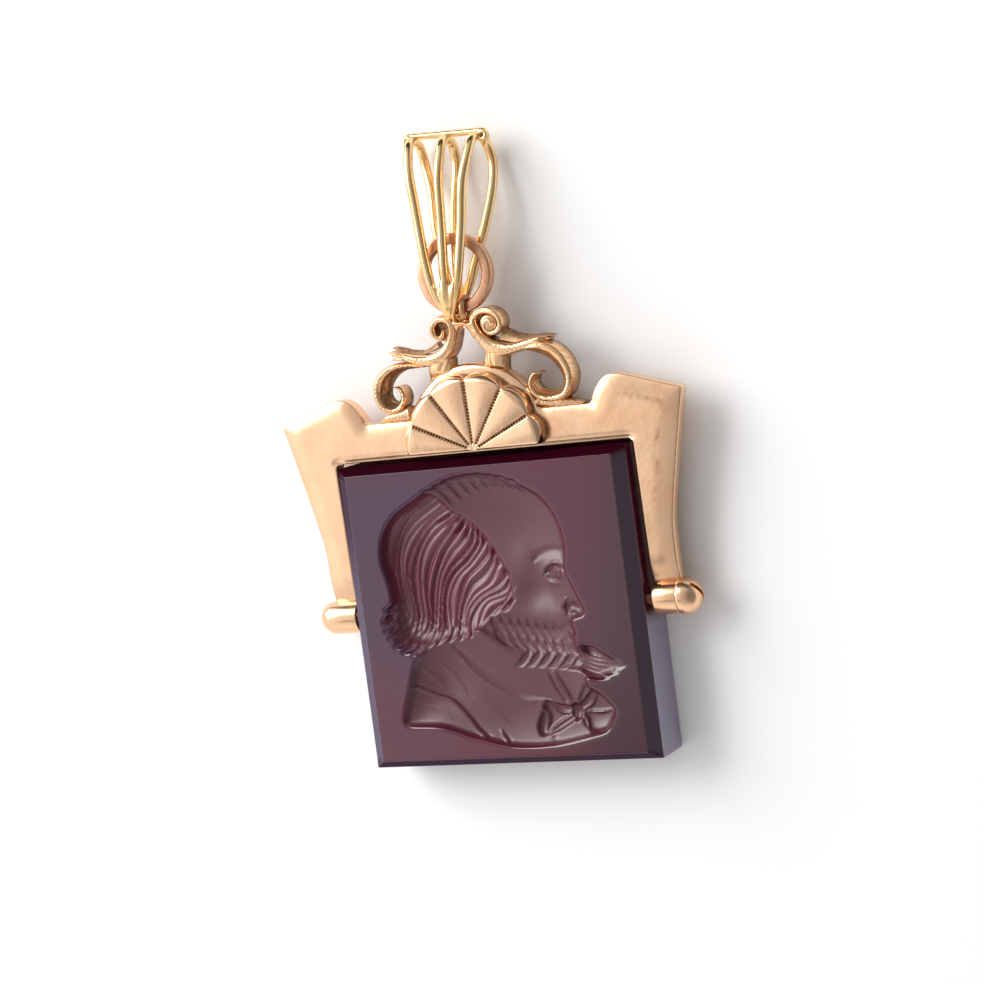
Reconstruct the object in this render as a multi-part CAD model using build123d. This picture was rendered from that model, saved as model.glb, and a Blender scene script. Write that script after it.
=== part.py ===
from build123d import *
import math
import os

# Swivel fob pendant, lying on its back.  Millimetres.
# Origin: on the floor, in the middle of the outline.  +Y towards the bail,
# +Z up out of the carved face.  Everything is drawn about the swivel axis
# first and shifted to the outline's middle at the end.

# ---------------------------------------------------------------- sizes
STONE_W = 22.7          # across, along the swivel axis
STONE_H = 22.3          # along Y
STONE_T = 4.5           # thickness
BEVEL_IN = 0.66         # front bevel, measured in the face
BEVEL_DEEP = 0.70       # front bevel, measured in depth
BACK_EASE = 0.20        # eased back edge
CARVING_DEEP = 0.45     # plain pocket that stands for the carving

AXIS_Z = STONE_T / 2    # swivel axis above the floor
YOKE_RISE = 2.0         # degrees that the yoke rises towards the bail

PLATE_T = 1.30          # frame plate
OPEN_HALF = 11.75       # inner half width of the frame
OPEN_TOP = 11.50        # inner top edge above the axis
OPEN_R = 0.35           # inner corner radius
ARM_END = 1.00          # arms end this far above the axis, on the barrels
LEDGE_Y = 14.15         # top of the bar between the shoulders
ARCH_CY, ARCH_R = 12.42, 5.42

SHELL_CY = 11.75        # where the shell's ribs meet
SHELL_T = 1.25          # shell stands this far proud of the plate
SHELL_LOBES = 6
SHELL_CREST, SHELL_VALLEY = 5.45, 5.08

SCROLL_FRONT, SCROLL_BACK = 0.95, 0.70
VOLUTE_X, VOLUTE_Y, VOLUTE_R = 2.10, 20.22, 1.08

EYE_X, EYE_Y = 0.24, 21.72
EYE_R, EYE_WIRE = 0.92, 0.27

BARREL_R = 1.12
BARREL_R_END = 13.15    # right barrel's outer end, under the screw's head
BARREL_L_END = 13.95    # left barrel's straight part; the dome follows
PIN_D = 1.00
PIN_IN_STONE = 2.05
BORE_GAP = 0.03         # radial gap, pin to barrel
HOLE_GAP = 0.04         # radial running gap, pin to stone
HEAD_R, HEAD_L = 1.36, 1.95
HEAD_RIM = 0.55         # straight rim under the dome
HEAD_GAP = 0.05         # between the head and the arm's end
SLOT_W, SLOT_D = 0.30, 0.55

RING_MEAN_R = 2.50
RING_SEC = 0.80
RING_SEC_R = 0.22
RING_X = -0.22
RING_RISE = -1.0        # degrees

LUG_X = -0.66
LUG_R, LUG_HOLE, LUG_W = 1.00, 0.66, 0.66
LUG_GAP = 0.10          # side gap between the bail and the yoke's eye
BAIL_DROP = 4.4         # degrees that the bail drops towards its bar
BAIL_LEAN = -3.0        # degrees, sideways
BAIL_FAN = 13.0         # degrees between neighbouring loops
BAIL_LEN = 12.2         # lug hole to cross bar
BAIL_WIRE = 0.62
BAR_D, BAR_HALF = 0.46, 2.95
BEAD_R = 0.50

# half outline of the frame's outer edge, from the arm's end to the ledge
# columns: x, y above the axis
ARM_EDGE = [
    (13.75, ARM_END), (13.78, 3.2), (13.85, 5.2), (14.17, 7.1),
    (14.60, 9.2), (15.22, 12.0), (15.80, 14.25),
]
SHOULDER = [
    (15.80, 14.66), (14.50, 15.07), (12.90, 15.58), (11.40, 16.02),
    (10.60, 16.08), (9.95, 15.80), (9.40, 15.20), (9.05, 14.60), (8.85, LEDGE_Y),
]

# right scroll, ribbons along their middle lines
# columns: x, y, half width
SCROLL_BODY = [
    (1.75, 18.05, 0.55), (3.00, 18.20, 0.36), (4.30, 18.45, 0.32),
    (5.50, 18.45, 0.40), (6.60, 18.02, 0.50), (7.35, 17.20, 0.54),
    (7.55, 16.20, 0.52), (7.20, 15.30, 0.48), (6.45, 14.85, 0.42),
    (5.65, 14.85, 0.36), (5.05, 15.25, 0.33), (4.88, 15.95, 0.30),
    (5.15, 16.60, 0.26), (5.70, 16.85, 0.12),
]
SCROLL_NECK = [
    (1.30, 20.30, 0.40), (1.22, 19.60, 0.36), (1.30, 18.95, 0.38),
    (1.75, 18.30, 0.48), (2.05, 17.70, 0.55), (2.15, 17.20, 0.55),
]
SCROLL_LEAF = [
    (2.80, 19.45, 0.42), (3.80, 19.12, 0.38), (5.00, 18.98, 0.34),
    (6.35, 19.22, 0.08),
]
SCROLL_FOOT = [
    (5.15, 14.30, 0.22), (6.60, 14.38, 0.24), (7.80, 14.32, 0.18),
    (8.55, 14.26, 0.06),
]

# side outline of one bail loop, its wire's middle line
# columns: distance from the lug hole, half depth
BAIL_LOOP = [
    (0.90, 0.62), (2.00, 0.78), (3.30, 1.05), (4.60, 1.33), (6.00, 1.56),
    (7.60, 1.80), (9.00, 1.92), (10.20, 1.88), (11.20, 1.55), (11.85, 1.05),
    (12.20, 0.30),
]


# ---------------------------------------------------------------- helpers
def prism(pts, z0, z1):
    """closed outline of straight edges, extruded from z0 to z1"""
    wire = Polyline(*[(p[0], p[1]) for p in pts], close=True)
    return Pos(0, 0, z0) * extrude(make_face(wire), z1 - z0)


def smooth(rows, per):
    """points on a smooth line through the rows, per steps a row"""
    out = []
    n = len(rows)
    for i in range(n - 1):
        p0, p1, p2, p3 = (rows[max(i - 1, 0)], rows[i], rows[i + 1],
                          rows[min(i + 2, n - 1)])
        for k in range(per):
            t = k / per
            out.append(tuple(
                0.5 * (2 * b + (c - a) * t + (2 * a - 5 * b + 4 * c - d) * t * t
                       + (3 * b - a - 3 * c + d) * t ** 3)
                for a, b, c, d in zip(p0, p1, p2, p3)))
    out.append(tuple(rows[-1]))
    return out


def ribbon(rows, z0, z1, side=1, per=2):
    """flat band of changing width along a table's middle line"""
    mid = smooth(rows, per)
    left, right = [], []
    for i, (x, y, w) in enumerate(mid):
        ax, ay, _ = mid[max(i - 1, 0)]
        bx, by, _ = mid[min(i + 1, len(mid) - 1)]
        d = math.hypot(bx - ax, by - ay)
        nx, ny = -(by - ay) / d, (bx - ax) / d
        left.append((side * (x + nx * w), y + ny * w))
        right.append((side * (x - nx * w), y - ny * w))
    return prism(left + right[::-1], z0, z1)


def along_x(shape):
    """turn a shape drawn along Z so that it points along +X"""
    return Rot(0, 90, 0) * shape


def domed(x0, r, rim, length):
    """button along +X from x0: a straight rim, then a dome to the full length"""
    rise = length - rim
    mid = (r * 0.70, x0 + rim + rise * 0.62)
    line = Polyline((0, x0 + length), (0, x0), (r, x0), (r, x0 + rim))
    arc = ThreePointArc((r, x0 + rim), mid, (0, x0 + length))
    face = Plane.XZ * make_face([line, arc])
    return along_x(revolve(face, Axis.Z, 360))


def yoke_place(shape):
    return Pos(0, 0, AXIS_Z) * Rot(YOKE_RISE, 0, 0) * shape


# ---------------------------------------------------------------- stone
def make_stone():
    w, h, t = STONE_W, STONE_H, STONE_T
    low = loft([Rectangle(w - 2 * BACK_EASE, h - 2 * BACK_EASE),
                Pos(0, 0, BACK_EASE) * Rectangle(w, h)], ruled=True)
    mid = Pos(0, 0, BACK_EASE) * extrude(Rectangle(w, h),
                                         t - BACK_EASE - BEVEL_DEEP)
    top = loft([Pos(0, 0, t - BEVEL_DEEP) * Rectangle(w, h),
                Pos(0, 0, t) * Rectangle(w - 2 * BEVEL_IN, h - 2 * BEVEL_IN)],
               ruled=True)
    body = low + mid + top
    # pivot holes
    r = PIN_D / 2 + HOLE_GAP
    deep = PIN_IN_STONE + 0.12
    for s in (-1, 1):
        x = s * (w / 2 - deep / 2 + 0.5)
        body -= Pos(x, 0, t / 2) * along_x(Cylinder(r, deep + 1.0))
    # the carving, as a plain shallow pocket: hair, head, beard and shoulders
    deep = CARVING_DEEP
    parts = [
        Pos(-3.4, 4.0) * Ellipse(4.6, 5.2),
        Pos(0.6, 4.2) * Ellipse(5.0, 5.5),
        Pos(2.6, -1.6) * Rot(0, 0, -22) * Ellipse(5.0, 2.9),
        make_face(Polyline((-8.2, -7.9), (-6.9, -4.0), (-4.5, -1.5),
                           (0.5, -3.0), (6.0, -5.0), (8.2, -7.6),
                           (5.5, -9.4), (-0.5, -9.8), (-4.0, -8.7),
                           close=True)),
    ]
    for f in parts:
        body -= Pos(0, 0, t - deep) * extrude(f, deep + 0.2)
    return body


# ---------------------------------------------------------------- yoke
def make_yoke():
    h = PLATE_T / 2
    # frame plate: outer outline, right side up and left side down
    edge = ARM_EDGE + SHOULDER
    outline = ([(OPEN_HALF, ARM_END)] + edge
               + [(-x, y) for x, y in reversed(edge)] + [(-OPEN_HALF, ARM_END)])
    # inner opening
    r = OPEN_R
    corner = []
    for k in range(4):
        a = math.radians(180 - 30 * k)
        corner.append((-OPEN_HALF + r + r * math.cos(a),
                       OPEN_TOP - r + r * math.sin(a)))
    outline += corner + [(-x, y) for x, y in reversed(corner)]
    yoke = prism(outline, -h, h)
    arch = Pos(0, ARCH_CY, 0) * Cylinder(ARCH_R, PLATE_T)
    arch &= Pos(0, OPEN_TOP + 0.5 + 5, 0) * Box(30, 10, 3)
    yoke += arch

    # shell: a fan of lobes, standing on the plate
    fan = []
    steps = 6
    for lobe in range(SHELL_LOBES):
        for k in range(steps):
            f = k / steps
            a = math.pi * (lobe + f) / SHELL_LOBES
            rad = SHELL_VALLEY + (SHELL_CREST - SHELL_VALLEY) * math.sin(math.pi * f)
            fan.append((rad * math.cos(a), SHELL_CY + rad * math.sin(a)))
    fan.append((-SHELL_VALLEY, SHELL_CY))
    yoke += prism(fan, h - 0.05, h + SHELL_T * 0.55)
    inner = [(x * 0.90, SHELL_CY + (y - SHELL_CY) * 0.90) for x, y in fan]
    yoke += prism(inner, h + SHELL_T * 0.5, h + SHELL_T)

    # scrolls
    for s in (1, -1):
        zf, zb = SCROLL_FRONT, -SCROLL_BACK
        yoke += Pos(s * VOLUTE_X, VOLUTE_Y, (zf + zb) / 2) * Cylinder(VOLUTE_R, zf - zb)
        yoke += ribbon(SCROLL_NECK, zb + 0.02, zf - 0.02, s)
        yoke += ribbon(SCROLL_LEAF, zb + 0.06, zf - 0.10, s)
        yoke += ribbon(SCROLL_BODY, zb + 0.04, zf - 0.05, s)
        yoke += ribbon(SCROLL_FOOT, zb + 0.10, zf - 0.20, s)
    # bridge between the volutes, and the eye on top of it
    yoke += Pos(0, 20.32, 0.1) * Box(2.6, 0.56, 1.30)
    yoke += Pos(EYE_X, 20.62, 0) * Box(2 * EYE_WIRE - 0.04, 0.50, 0.70)
    yoke += Pos(EYE_X, EYE_Y, 0) * Rot(0, 90, 0) * Torus(EYE_R, EYE_WIRE)

    # barrels on the ends of the arms, with bores for the pivots
    bore = PIN_D / 2 + BORE_GAP
    x0, x1 = OPEN_HALF, BARREL_R_END
    yoke += Pos((x0 + x1) / 2, 0, 0) * along_x(Cylinder(BARREL_R, x1 - x0))
    x1 = BARREL_L_END
    yoke += Pos(-(x0 + x1) / 2, 0, 0) * along_x(Cylinder(BARREL_R, x1 - x0))
    yoke += Rot(0, 0, 180) * domed(x1 - 0.05, BARREL_R, 0.05, 0.05 + BARREL_R)
    yoke -= Pos(x0 + 1.0, 0, 0) * along_x(Cylinder(bore, 3.2))
    # room for the screw's head in the end of the right arm
    yoke -= Pos(BARREL_R_END + 2.0, 0, 0) * along_x(Cylinder(HEAD_R + HEAD_GAP, 4.0))
    deep = 2.20
    yoke -= Pos(-(x0 + deep / 2 - 0.3), 0, 0) * along_x(Cylinder(bore, deep + 0.6))
    return yoke_place(yoke)


# ---------------------------------------------------------------- pivots
def make_pivot_screw():
    tip = STONE_W / 2 - PIN_IN_STONE
    x1 = BARREL_R_END + 0.03
    shank = Pos((tip + x1) / 2, 0, 0) * along_x(Cylinder(PIN_D / 2, x1 - tip))
    shank += domed(x1, HEAD_R, HEAD_RIM, HEAD_L)
    slot = Pos(x1 + HEAD_L - SLOT_D / 2 + 0.5, 0, 0) * Box(SLOT_D + 1.0, 6, SLOT_W)
    return yoke_place(shank - Rot(35, 0, 0) * slot)


def make_pivot_pin():
    tip = STONE_W / 2 - PIN_IN_STONE
    x1 = OPEN_HALF + 2.05
    return yoke_place(Pos(-(tip + x1) / 2, 0, 0) * along_x(Cylinder(PIN_D / 2, x1 - tip)))


# ---------------------------------------------------------------- ring
def eye_height():
    a = math.radians(YOKE_RISE)
    return EYE_Y * math.cos(a), AXIS_Z + EYE_Y * math.sin(a)


def make_jump_ring():
    y, z = eye_height()
    sec = Plane.XZ * (Pos(RING_MEAN_R, 0) * RectangleRounded(RING_SEC, RING_SEC, RING_SEC_R))
    ring = revolve(sec, Axis.Z, 360)
    return Pos(RING_X, y, z) * Rot(RING_RISE, 0, 0) * Pos(0, RING_MEAN_R, 0) * ring


# ---------------------------------------------------------------- bail
STAND = Plane((0, 0, 0), x_dir=(0, 1, 0), z_dir=(1, 0, 0)).location


def make_bail():
    w = BAIL_WIRE / 2
    front = smooth([(u, d) for u, d in BAIL_LOOP], 2)

    def side(pts, off):
        out = []
        for i, (u, d) in enumerate(pts):
            au, ad = pts[max(i - 1, 0)]
            bu, bd = pts[min(i + 1, len(pts) - 1)]
            k = math.hypot(bu - au, bd - ad)
            nu, nd = -(bd - ad) / k, (bu - au) / k
            out.append((u + nu * off, d + nd * off))
        return out

    outer, inner = side(front, w), side(front, -w)
    # each loop is cut from a flat blank in the (length, depth) plane
    blank = outer + [(u, -d) for u, d in reversed(outer)]
    hole = [(u, d) for u, d in inner if d > 0.12 and u > 1.35]
    hole = [(1.30, 0.22)] + hole
    hole = hole + [(u, -d) for u, d in reversed(hole)]
    body = None
    for k in (-1, 0, 1):
        loop = prism(blank, -w, w) - prism(hole, -1, 1)
        # drawn with length along X and depth along Y: stand it up
        loop = STAND * loop
        loop = Rot(0, 0, -k * BAIL_FAN) * loop
        body = loop if body is None else body + loop
    # solid V in front and behind, where the wires run together
    web = prism([(-0.42, 0.7), (-0.95, 3.0), (0.95, 3.0), (0.42, 0.7)], 0.52, 1.02)
    lean = math.degrees(math.atan2(0.27, 2.3))
    web &= Pos(0, 1.85, 0) * Rot(lean, 0, 0) * Pos(0, 0, 0.77) * Box(3, 2.6, 0.5)
    body += web + mirror(web, Plane.XY)
    # cross bar with beaded ends
    body += Pos(0, BAIL_LEN, 0) * along_x(Cylinder(BAR_D / 2, 2 * BAR_HALF))
    for s in (-1, 1):
        body += Pos(s * BAR_HALF, BAIL_LEN - 0.12, 0) * Sphere(BEAD_R)
    # lug with the hole for the ring
    body += along_x(Cylinder(LUG_R, LUG_W))
    body -= along_x(Cylinder(LUG_HOLE, LUG_W + 1.4))
    # side clearance for the yoke's eye
    x0 = EYE_X - EYE_WIRE - LUG_GAP - LUG_X
    body -= Pos(x0 + 1.0, 0, 0) * along_x(Cylinder(EYE_R + EYE_WIRE + LUG_GAP, 2.0))
    y, z = eye_height()
    return Pos(LUG_X, y, z) * Rot(-BAIL_DROP, 0, 0) * Rot(0, 0, BAIL_LEAN) * body


# ---------------------------------------------------------------- write
nodes = {
    "stone": make_stone(),
    "yoke": make_yoke(),
    "pivot_screw": make_pivot_screw(),
    "pivot_pin": make_pivot_pin(),
    "jump_ring": make_jump_ring(),
    "bail": make_bail(),
}

boxes = [s.bounding_box() for s in nodes.values()]
lo = [min(tuple(b.min)[i] for b in boxes) for i in range(3)]
hi = [max(tuple(b.max)[i] for b in boxes) for i in range(3)]
shift = (-(lo[0] + hi[0]) / 2, -(lo[1] + hi[1]) / 2, 0)
print("box", [round(v, 3) for v in lo], [round(v, 3) for v in hi])
print("shift", [round(v, 4) for v in shift])
print("swept radius of the stone",
      round(math.hypot(STONE_H / 2, STONE_T / 2 - BACK_EASE), 3), "opening", OPEN_TOP)

os.makedirs("parts", exist_ok=True)
for name, shape in nodes.items():
    shape = Pos(*shift) * shape
    export_step(shape, "parts/" + name + ".step")
    print(name, "volume", round(shape.volume, 2))
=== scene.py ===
import bpy
import math
import numpy as np
from mathutils import Matrix, Vector
from mathutils.geometry import delaunay_2d_cdt

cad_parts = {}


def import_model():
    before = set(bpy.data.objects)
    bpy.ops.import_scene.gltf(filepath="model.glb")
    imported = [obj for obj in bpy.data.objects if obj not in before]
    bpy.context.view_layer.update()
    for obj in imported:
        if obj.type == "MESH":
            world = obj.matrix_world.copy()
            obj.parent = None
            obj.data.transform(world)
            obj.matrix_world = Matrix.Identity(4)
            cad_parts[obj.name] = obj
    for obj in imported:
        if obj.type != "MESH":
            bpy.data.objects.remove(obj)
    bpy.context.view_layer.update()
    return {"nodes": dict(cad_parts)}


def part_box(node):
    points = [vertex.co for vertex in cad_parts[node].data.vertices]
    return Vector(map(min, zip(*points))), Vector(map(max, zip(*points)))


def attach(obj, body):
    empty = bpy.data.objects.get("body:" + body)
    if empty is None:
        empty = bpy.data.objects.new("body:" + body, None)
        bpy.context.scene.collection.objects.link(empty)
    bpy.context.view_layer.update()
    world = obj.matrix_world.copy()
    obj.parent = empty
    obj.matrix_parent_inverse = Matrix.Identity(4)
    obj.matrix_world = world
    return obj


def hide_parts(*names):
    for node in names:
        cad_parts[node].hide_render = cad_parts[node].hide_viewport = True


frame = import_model()
nodes = frame["nodes"]
FRAME_BODY, STONE_BODY = "mount_frame", "stone"

# ------------------------------------------------------------------ sizes
# millimetres, about the swivel axis; the CAD's shift along Y is read back
# from the stone's box
lo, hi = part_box("stone")
SHIFT_Y = (lo[1] + hi[1]) / 2 * 1000
STONE_W, STONE_H, STONE_T = 22.7, 22.3, 4.5
BEVEL_X, BEVEL_Y, BEVEL_DEEP = 0.88, 0.60, 0.70
AXIS_Z, YOKE_RISE = 2.25, 2.0
PLATE_T = 1.30
OPEN_HALF, OPEN_TOP, OPEN_R = 11.75, 11.44, 0.35
ARM_END, LEDGE_Y = 1.00, 14.15
ARCH_CY, ARCH_R = 12.42, 5.42
SHELL_CY, SHELL_LOBES = 11.75, 6
SHELL_CREST, SHELL_VALLEY, SHELL_T = 5.56, 5.14, 1.25
SHELL_RIBS = (0, 25, 56.5, 90, 123.5, 155, 180)
BARREL_R, BARREL_R_END, BARREL_L_END = 1.23, 13.50, 13.88
HEAD_R, HEAD_L, HEAD_RIM = 1.33, 1.60, 0.34
RING_MEAN_R, RING_SEC, RING_X, RING_RISE = 2.50, 0.80, -0.22, -1.0
EYE_X, EYE_Y, EYE_R, EYE_WIRE = 0.24, 21.72, 0.92, 0.27
LUG_X, LUG_R, LUG_HOLE, LUG_W = -0.66, 1.00, 0.66, 0.66
BAIL_DROP, BAIL_LEAN, BAIL_FAN = 4.4, -3.0, 13.0
BAIL_LEN, BAIL_WIRE, BAR_D, BAR_HALF, BEAD_R = 12.2, 0.62, 0.46, 2.95, 0.50
BAIL_LOOP = [
    (0.90, 0.62), (2.00, 0.78), (3.30, 1.05), (4.60, 1.33), (6.00, 1.56),
    (7.60, 1.80), (9.00, 1.92), (10.20, 1.88), (11.20, 1.55), (11.85, 1.05),
    (12.20, 0.30),
]
rng = np.random.default_rng(7)


# ------------------------------------------------------------------ frames
def rot_x(p, deg):
    a = math.radians(deg)
    c, s = math.cos(a), math.sin(a)
    p = np.asarray(p, float)
    return np.stack([p[:, 0], p[:, 1] * c - p[:, 2] * s,
                     p[:, 1] * s + p[:, 2] * c], 1)


def rot_z(p, deg):
    a = math.radians(deg)
    c, s = math.cos(a), math.sin(a)
    p = np.asarray(p, float)
    return np.stack([p[:, 0] * c - p[:, 1] * s, p[:, 0] * s + p[:, 1] * c,
                     p[:, 2]], 1)


def world(p):
    """axis frame in mm to the row frame in metres"""
    return (np.asarray(p, float) + (0, SHIFT_Y, 0)) * 0.001


def yoke(p):
    return rot_x(p, YOKE_RISE) + (0, 0, AXIS_Z)


def eye_point():
    a = math.radians(YOKE_RISE)
    return np.array([0, EYE_Y * math.cos(a), AXIS_Z + EYE_Y * math.sin(a)])


def ring_place(p):
    return rot_x(np.asarray(p, float) + (0, RING_MEAN_R, 0), RING_RISE) + \
        eye_point() + (RING_X, 0, 0)


def bail_place(p):
    return rot_x(rot_z(p, BAIL_LEAN), -BAIL_DROP) + eye_point() + (LUG_X, 0, 0)


# ------------------------------------------------------------------ curves
def smooth_rows(rows, per):
    """Catmull-Rom through the rows, per steps a row"""
    rows = np.asarray(rows, float)
    n = len(rows)
    out = []
    t = (np.arange(per) / per)[:, None]
    for i in range(n - 1):
        a, b = rows[max(i - 1, 0)], rows[i]
        c, d = rows[i + 1], rows[min(i + 2, n - 1)]
        out.append(0.5 * (2 * b + (c - a) * t + (2 * a - 5 * b + 4 * c - d) * t ** 2
                          + (3 * b - a - 3 * c + d) * t ** 3))
    out.append(rows[-1:])
    return np.concatenate(out)


def resample(rows, step):
    """even spacing along the first two columns' length"""
    rows = np.asarray(rows, float)
    k = np.hypot(*np.diff(rows[:, :2], axis=0).T)
    s = np.concatenate([[0], np.cumsum(k)])
    n = max(int(round(s[-1] / step)), 2)
    q = np.linspace(0, s[-1], n + 1)
    return np.stack([np.interp(q, s, rows[:, j]) for j in range(rows.shape[1])], 1)


def line_distance(p, line, closed=False):
    """distance of points to a polyline"""
    line = np.asarray(line, float)
    if closed:
        line = np.concatenate([line, line[:1]])
    best = np.full(len(p), 1e9)
    for a, b in zip(line[:-1], line[1:]):
        ab = b - a
        k = ab @ ab
        if k < 1e-12:
            continue
        t = np.clip(((p - a) @ ab) / k, 0, 1)
        d = p - a - t[:, None] * ab
        best = np.minimum(best, d[:, 0] ** 2 + d[:, 1] ** 2)
    return np.sqrt(best)


def inside(p, poly):
    poly = np.asarray(poly, float)
    hit = np.zeros(len(p), bool)
    for a, b in zip(poly, np.roll(poly, -1, axis=0)):
        if a[1] == b[1]:
            continue
        cross = (a[1] > p[:, 1]) != (b[1] > p[:, 1])
        x = a[0] + (p[:, 1] - a[1]) * (b[0] - a[0]) / (b[1] - a[1])
        hit ^= cross & (p[:, 0] < x)
    return hit


def step01(x):
    x = np.clip(x, 0, 1)
    return x * x * (3 - 2 * x)


def quarter(t):
    """0 at t=0 rising steeply to 1 at t=1, a quarter circle"""
    t = np.clip(t, 0, 1)
    return np.sqrt(np.clip(1 - (1 - t) ** 2, 0, 1))


# ------------------------------------------------------------------ meshes
made = []


def add_mesh(name, verts, faces, mat, body=FRAME_BODY, slot="gold", sharp=40,
             attrs=None, modifiers=None):
    me = bpy.data.meshes.new(name)
    me.from_pydata([tuple(v) for v in verts], [], faces)
    me.validate()
    for key, values in (attrs or {}).items():
        if len(values) == len(me.vertices):
            a = me.attributes.new(key, "FLOAT", "POINT")
            a.data.foreach_set("value", np.asarray(values, np.float32))
    me.update()
    me.shade_smooth()
    me.set_sharp_from_angle(angle=math.radians(sharp))
    ob = bpy.data.objects.new(name, me)
    bpy.context.scene.collection.objects.link(ob)
    me.materials.append(mat)
    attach(ob, body)
    made.append(ob)
    return ob


class Parts:
    """collects closed shells that are soldered into one piece"""

    def __init__(self):
        self.v, self.f, self.w = [], [], []
        self.n = 0

    # the per-vertex darkening passed in here is patina together with painted shade
    def add(self, verts, faces, wear_and_shade=None):
        verts = np.asarray(verts, float)
        self.v.append(verts)
        self.f += [tuple(i + self.n for i in f) for f in faces]
        self.w.append(np.zeros(len(verts)) if wear_and_shade is None else np.asarray(wear_and_shade, float))
        self.n += len(verts)

    def build(self, name, place, mat, **kw):
        v = world(place(np.concatenate(self.v)))
        return add_mesh(name, v, self.f, mat,
                        attrs={"dark": np.concatenate(self.w)}, **kw)


def tube(path, radius, sides=16, closed=False, squash=None):
    """round rod along a 3-D path, with domed ends where it is open"""
    p = np.asarray(path, float)
    n = len(p)
    r = np.broadcast_to(np.asarray(radius, float), (n,)).copy()
    if closed:
        t = np.roll(p, -1, 0) - np.roll(p, 1, 0)
    else:
        t = np.gradient(p, axis=0)
    t /= np.linalg.norm(t, axis=1)[:, None]
    ref = np.array([1.0, 0, 0]) if abs(t[0, 0]) < 0.9 else np.array([0, 0, 1.0])
    nrm = []
    cur = ref - t[0] * (ref @ t[0])
    cur /= np.linalg.norm(cur)
    for i in range(n):
        cur = cur - t[i] * (cur @ t[i])
        cur /= np.linalg.norm(cur)
        nrm.append(cur)
    nrm = np.array(nrm)
    if closed:
        # take out the twist that has built up round the loop
        end = nrm[-1] - t[0] * (nrm[-1] @ t[0])
        end /= np.linalg.norm(end)
        bi = np.cross(t[0], nrm[0])
        twist = math.atan2(end @ bi, end @ nrm[0])
        ang = -twist * np.arange(n) / n
        bin_ = np.cross(t, nrm)
        nrm = nrm * np.cos(ang)[:, None] + bin_ * np.sin(ang)[:, None]
    bi = np.cross(t, nrm)
    rings = []
    if not closed:
        for a in (80, 60, 40, 20):
            q = math.radians(a)
            rings.append((p[0] - t[0] * r[0] * math.sin(q), r[0] * math.cos(q), 0))
    for i in range(n):
        rings.append((p[i], r[i], i))
    if not closed:
        for a in (20, 40, 60, 80):
            q = math.radians(a)
            rings.append((p[-1] + t[-1] * r[-1] * math.sin(q), r[-1] * math.cos(q), n - 1))
    ang = np.arange(sides) * 2 * math.pi / sides
    verts = []
    for c, rad, i in rings:
        verts.append(c + rad * (np.cos(ang)[:, None] * nrm[i] + np.sin(ang)[:, None] * bi[i]))
    verts = np.concatenate(verts)
    m = len(rings)
    faces = []
    for j in range(m if closed else m - 1):
        k = (j + 1) % m
        for s in range(sides):
            q = (s + 1) % sides
            faces.append((j * sides + s, j * sides + q, k * sides + q, k * sides + s))
    if not closed:
        faces.append(tuple(range(sides))[::-1])
        faces.append(tuple((m - 1) * sides + s for s in range(sides)))
    return verts, faces


def lathe(profile, sides=96, at=(0, 0), closed=False):
    """profile rows (x, r) turned about the X axis; r 0 closes an end"""
    prof = [(x, max(r, 0.0)) for x, r in profile]
    ang = np.arange(sides) * 2 * math.pi / sides
    verts, idx = [], []
    for x, r in prof:
        if r < 1e-9:
            idx.append([len(verts)])
            verts.append((x, at[0], at[1]))
        else:
            idx.append(list(range(len(verts), len(verts) + sides)))
            for a in ang:
                verts.append((x, at[0] + r * math.cos(a), at[1] + r * math.sin(a)))
    faces = []
    pairs = list(zip(idx[:-1], idx[1:]))
    if closed:
        pairs.append((idx[-1], idx[0]))
    for a, b in pairs:
        for s in range(sides):
            q = (s + 1) % sides
            if len(a) == 1:
                faces.append((a[0], b[q], b[s]))
            elif len(b) == 1:
                faces.append((a[s], a[q], b[0]))
            else:
                faces.append((a[s], a[q], b[q], b[s]))
    return np.array(verts), faces


def grid_shell(top, bottom_z):
    """closed block from a (n, m, 3) height grid and a flat underside"""
    n, m = top.shape[:2]
    ring = [(0, j) for j in range(m)] + [(i, m - 1) for i in range(1, n)] + \
        [(n - 1, j) for j in range(m - 2, -1, -1)] + [(i, 0) for i in range(n - 2, 0, -1)]
    verts = top.reshape(-1, 3)
    faces = []
    for i in range(n - 1):
        for j in range(m - 1):
            a = i * m + j
            faces.append((a, a + m, a + m + 1, a + 1))
    low = np.array([top[i, j] for i, j in ring])
    low[:, 2] = bottom_z
    base = len(verts)
    verts = np.concatenate([verts, low])
    k = len(ring)
    for q in range(k):
        a = ring[q][0] * m + ring[q][1]
        b = ring[(q + 1) % k][0] * m + ring[(q + 1) % k][1]
        faces.append((a, b, base + (q + 1) % k, base + q))
    faces.append(tuple(range(base + k - 1, base - 1, -1)))
    return verts, faces


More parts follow.
